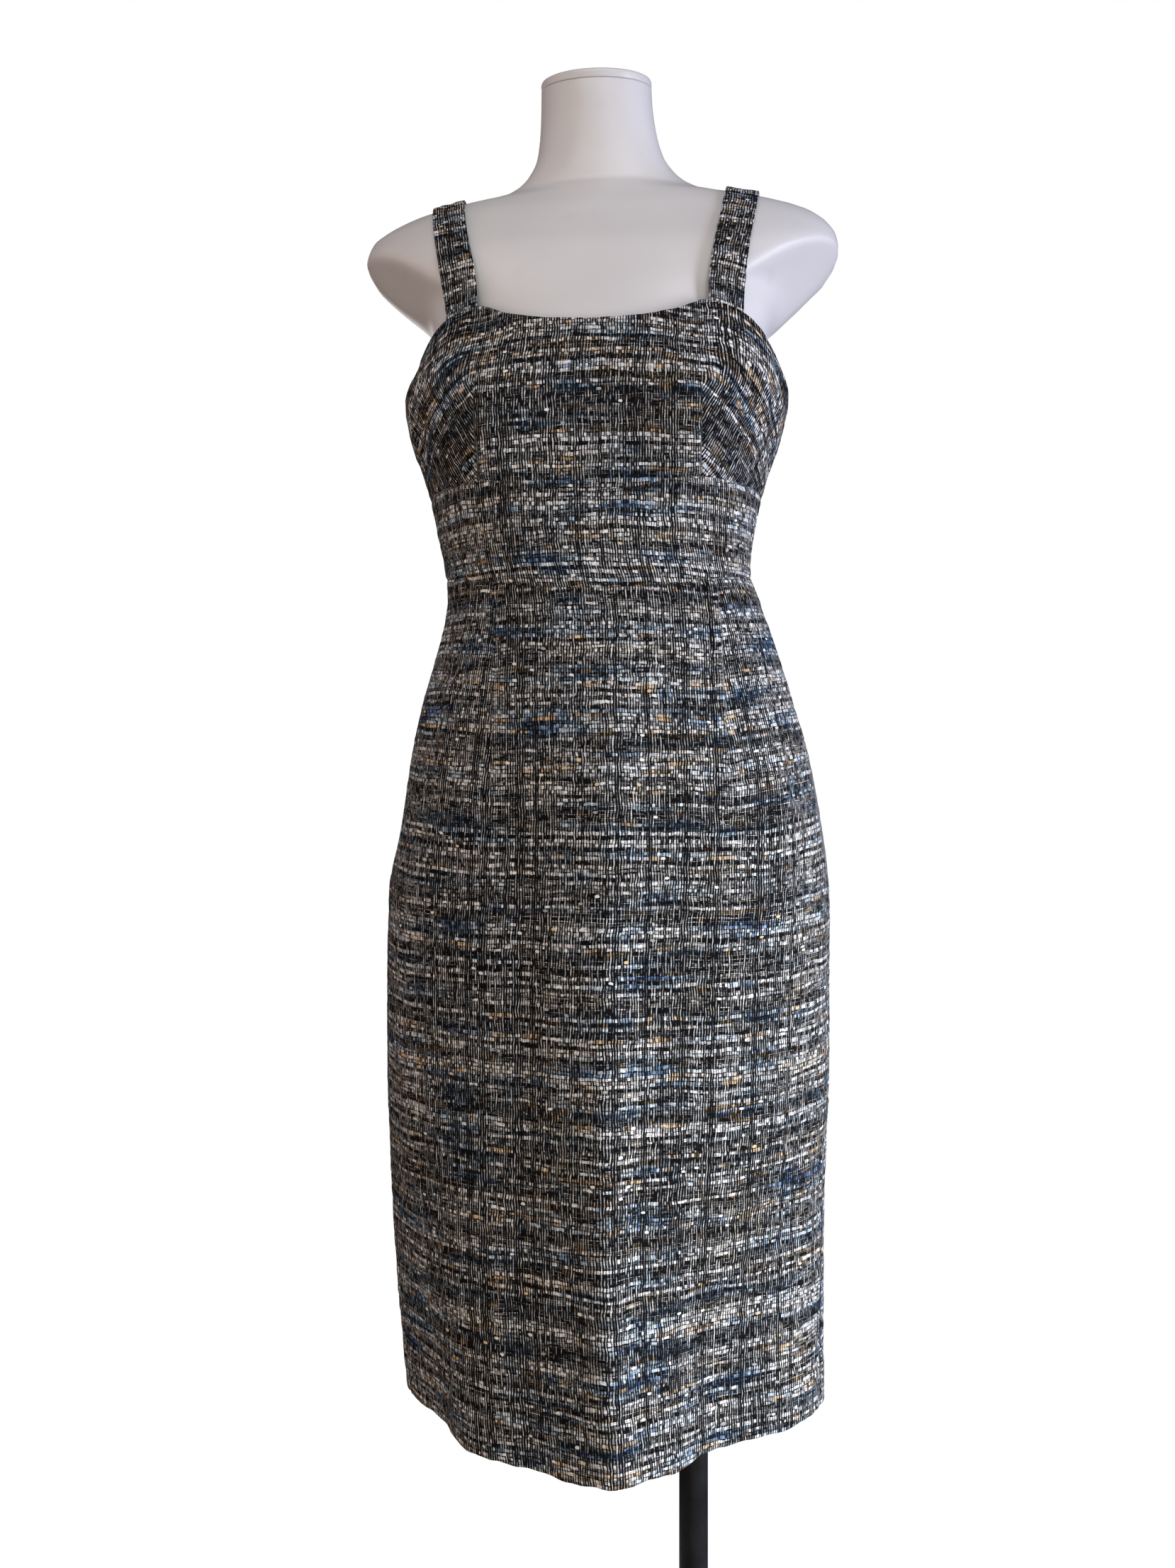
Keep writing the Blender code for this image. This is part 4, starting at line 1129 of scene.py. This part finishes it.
def pocket_skin(side):
    """The outside of a pocket: its bag, then its facing that comes up to the skirt's surface."""
    share = mouth_share(POCKET_BAG)
    mouth = SIDE_SEAM - POCKET_GAPE * share
    gape = (POCKET_BACK - mouth) * smooth(0.0, 0.25, share)
    hidden = mouth - 0.8 - 1.6 * smooth(0.25, 0.0, share)
    under = CLOTH + UNDER_CLOTH
    flush = under * (1.0 - smooth(0.35, 0.80, share))
    bag = POCKET_FRONT + (hidden - POCKET_FRONT) * np.linspace(0.0, 1.0, BAG_COLUMNS + 1)
    facing = hidden + (POCKET_BACK - hidden) * np.linspace(0.0, 1.0, FACING_COLUMNS + 1)[1:]
    deep = under + (flush - under) * smooth(0.42, 0.72, (facing - mouth) / np.maximum(gape, 0.5))
    angle = np.concatenate((bag, facing), axis=1)
    inward = np.concatenate((np.full_like(bag, under), deep), axis=1)
    return dress_wall(POCKET_BAG, side * angle, inward)


for name, side in (("left", 1.0), ("right", -1.0)):
    points = pocket_skin(side)[:, ::int(side)]
    piece = finished(f"pocket_{name}_bag", quad_grid(points), lining, f"pocket_{name}")
    cloth_wall(piece, points, LINING)

# ------------ back zip
# A concealed zip behind the centre back seam, from the neckline to the hips. Closed, it doesn't
# show outside; its two woven tapes lie flat inside the dress, side by side.

ZIP_BOTTOM = 0.965
ZIP_HALF_WIDTH = 0.012
ZIP_UNDER = 0.0014
ZIP_TOP = BACK_NECKLINE - 0.004
ZIP_ROWS = 90
ZIP_COLUMNS = 8

height = np.linspace(ZIP_BOTTOM, ZIP_TOP, ZIP_ROWS + 1)[:, None]
spread = np.degrees(ZIP_HALF_WIDTH / read_column(DRESS, 3, height))
angle = 180.0 + spread * np.linspace(-1.0, 1.0, ZIP_COLUMNS + 1)
points = dress_wall(height, angle, CLOTH + ZIP_UNDER)
tape = finished("back_zip_tape", quad_grid(points), lining, "back_zip")
cloth_wall(tape, points, LINING)

# ------------ studio
# A pale round floor in front of plain white. A large cool light stands at the wearer's left, as a
# window gives, and a weaker warm one on the other side, with dim ones all round between them.

FLOOR_RADIUS = 0.44
PAPER_TONE = (0.86, 0.86, 0.86, 1.0)
DIM_AIR = (0.05, 0.05, 0.05, 1.0)
WHITE = (1.0, 1.0, 1.0, 1.0)

floor_shape = bmesh.new()
bmesh.ops.create_circle(floor_shape, cap_ends=True, segments=128, radius=FLOOR_RADIUS)
placed("floor", floor_shape, Finish("paper", 0.8, Base_Color=PAPER_TONE))


def soft_light(name, azimuth, elevation, away, size, power, colour, aim=1.0, spread=180.0):
    """A lamp that looks at the dress at the aim's height, azimuth 0 being its front."""
    lamp = bpy.data.lights.new(name, "AREA")
    lamp.shape = "RECTANGLE"
    lamp.size, lamp.size_y = size
    lamp.energy = power
    lamp.color = colour
    lamp.spread = math.radians(spread)
    light = bpy.data.objects.new(name, lamp)
    turn, rise = math.radians(azimuth), math.radians(elevation)
    way = Vector((math.sin(turn) * math.cos(rise), -math.cos(turn) * math.cos(rise),
                  math.sin(rise)))
    light.location = Vector((0.0, 0.0, aim)) + way * away
    light.rotation_euler = (-way).to_track_quat("-Z", "Y").to_euler()
    light.visible_camera = False
    scene.collection.objects.link(light)


soft_light("window", 70.0, 3.0, 2.6, (0.5, 2.2), 41.0, (0.82, 0.84, 1.0))
soft_light("sky", 95.0, 3.0, 1.8, (1.0, 2.0), 9.5, (0.62, 0.66, 1.0))
soft_light("low", 70.0, -4.0, 1.4, (0.4, 0.6), 2.6, (0.86, 0.95, 1.0), 0.66, 66.0)
soft_light("lamp", -60.0, 5.0, 2.0, (1.8, 2.0), 10.8, (1.0, 0.74, 0.66))
soft_light("ceiling", 0.0, 50.0, 2.0, (2.0, 1.0), 13.3, (0.99, 0.99, 1.0))
soft_light("ground", 10.0, -25.0, 2.0, (2.0, 0.8), 9.5, (1.0, 0.90, 0.70))
soft_light("behind", 190.0, 20.0, 2.0, (1.8, 1.6), 14.0, (1.0, 0.97, 0.94))

world = bpy.data.worlds.new("world")
scene.world = world
world.use_nodes = True
air = world.node_tree
seen = air.nodes.new("ShaderNodeLightPath")
glow = air.nodes.new("ShaderNodeMix")
glow.data_type = "RGBA"
glow.inputs[6].default_value = DIM_AIR
glow.inputs[7].default_value = WHITE
air.links.new(seen.outputs["Is Camera Ray"], glow.inputs[0])
air.links.new(glow.outputs[2], air.nodes["Background"].inputs[0])
scene.view_settings.view_transform = "Standard"
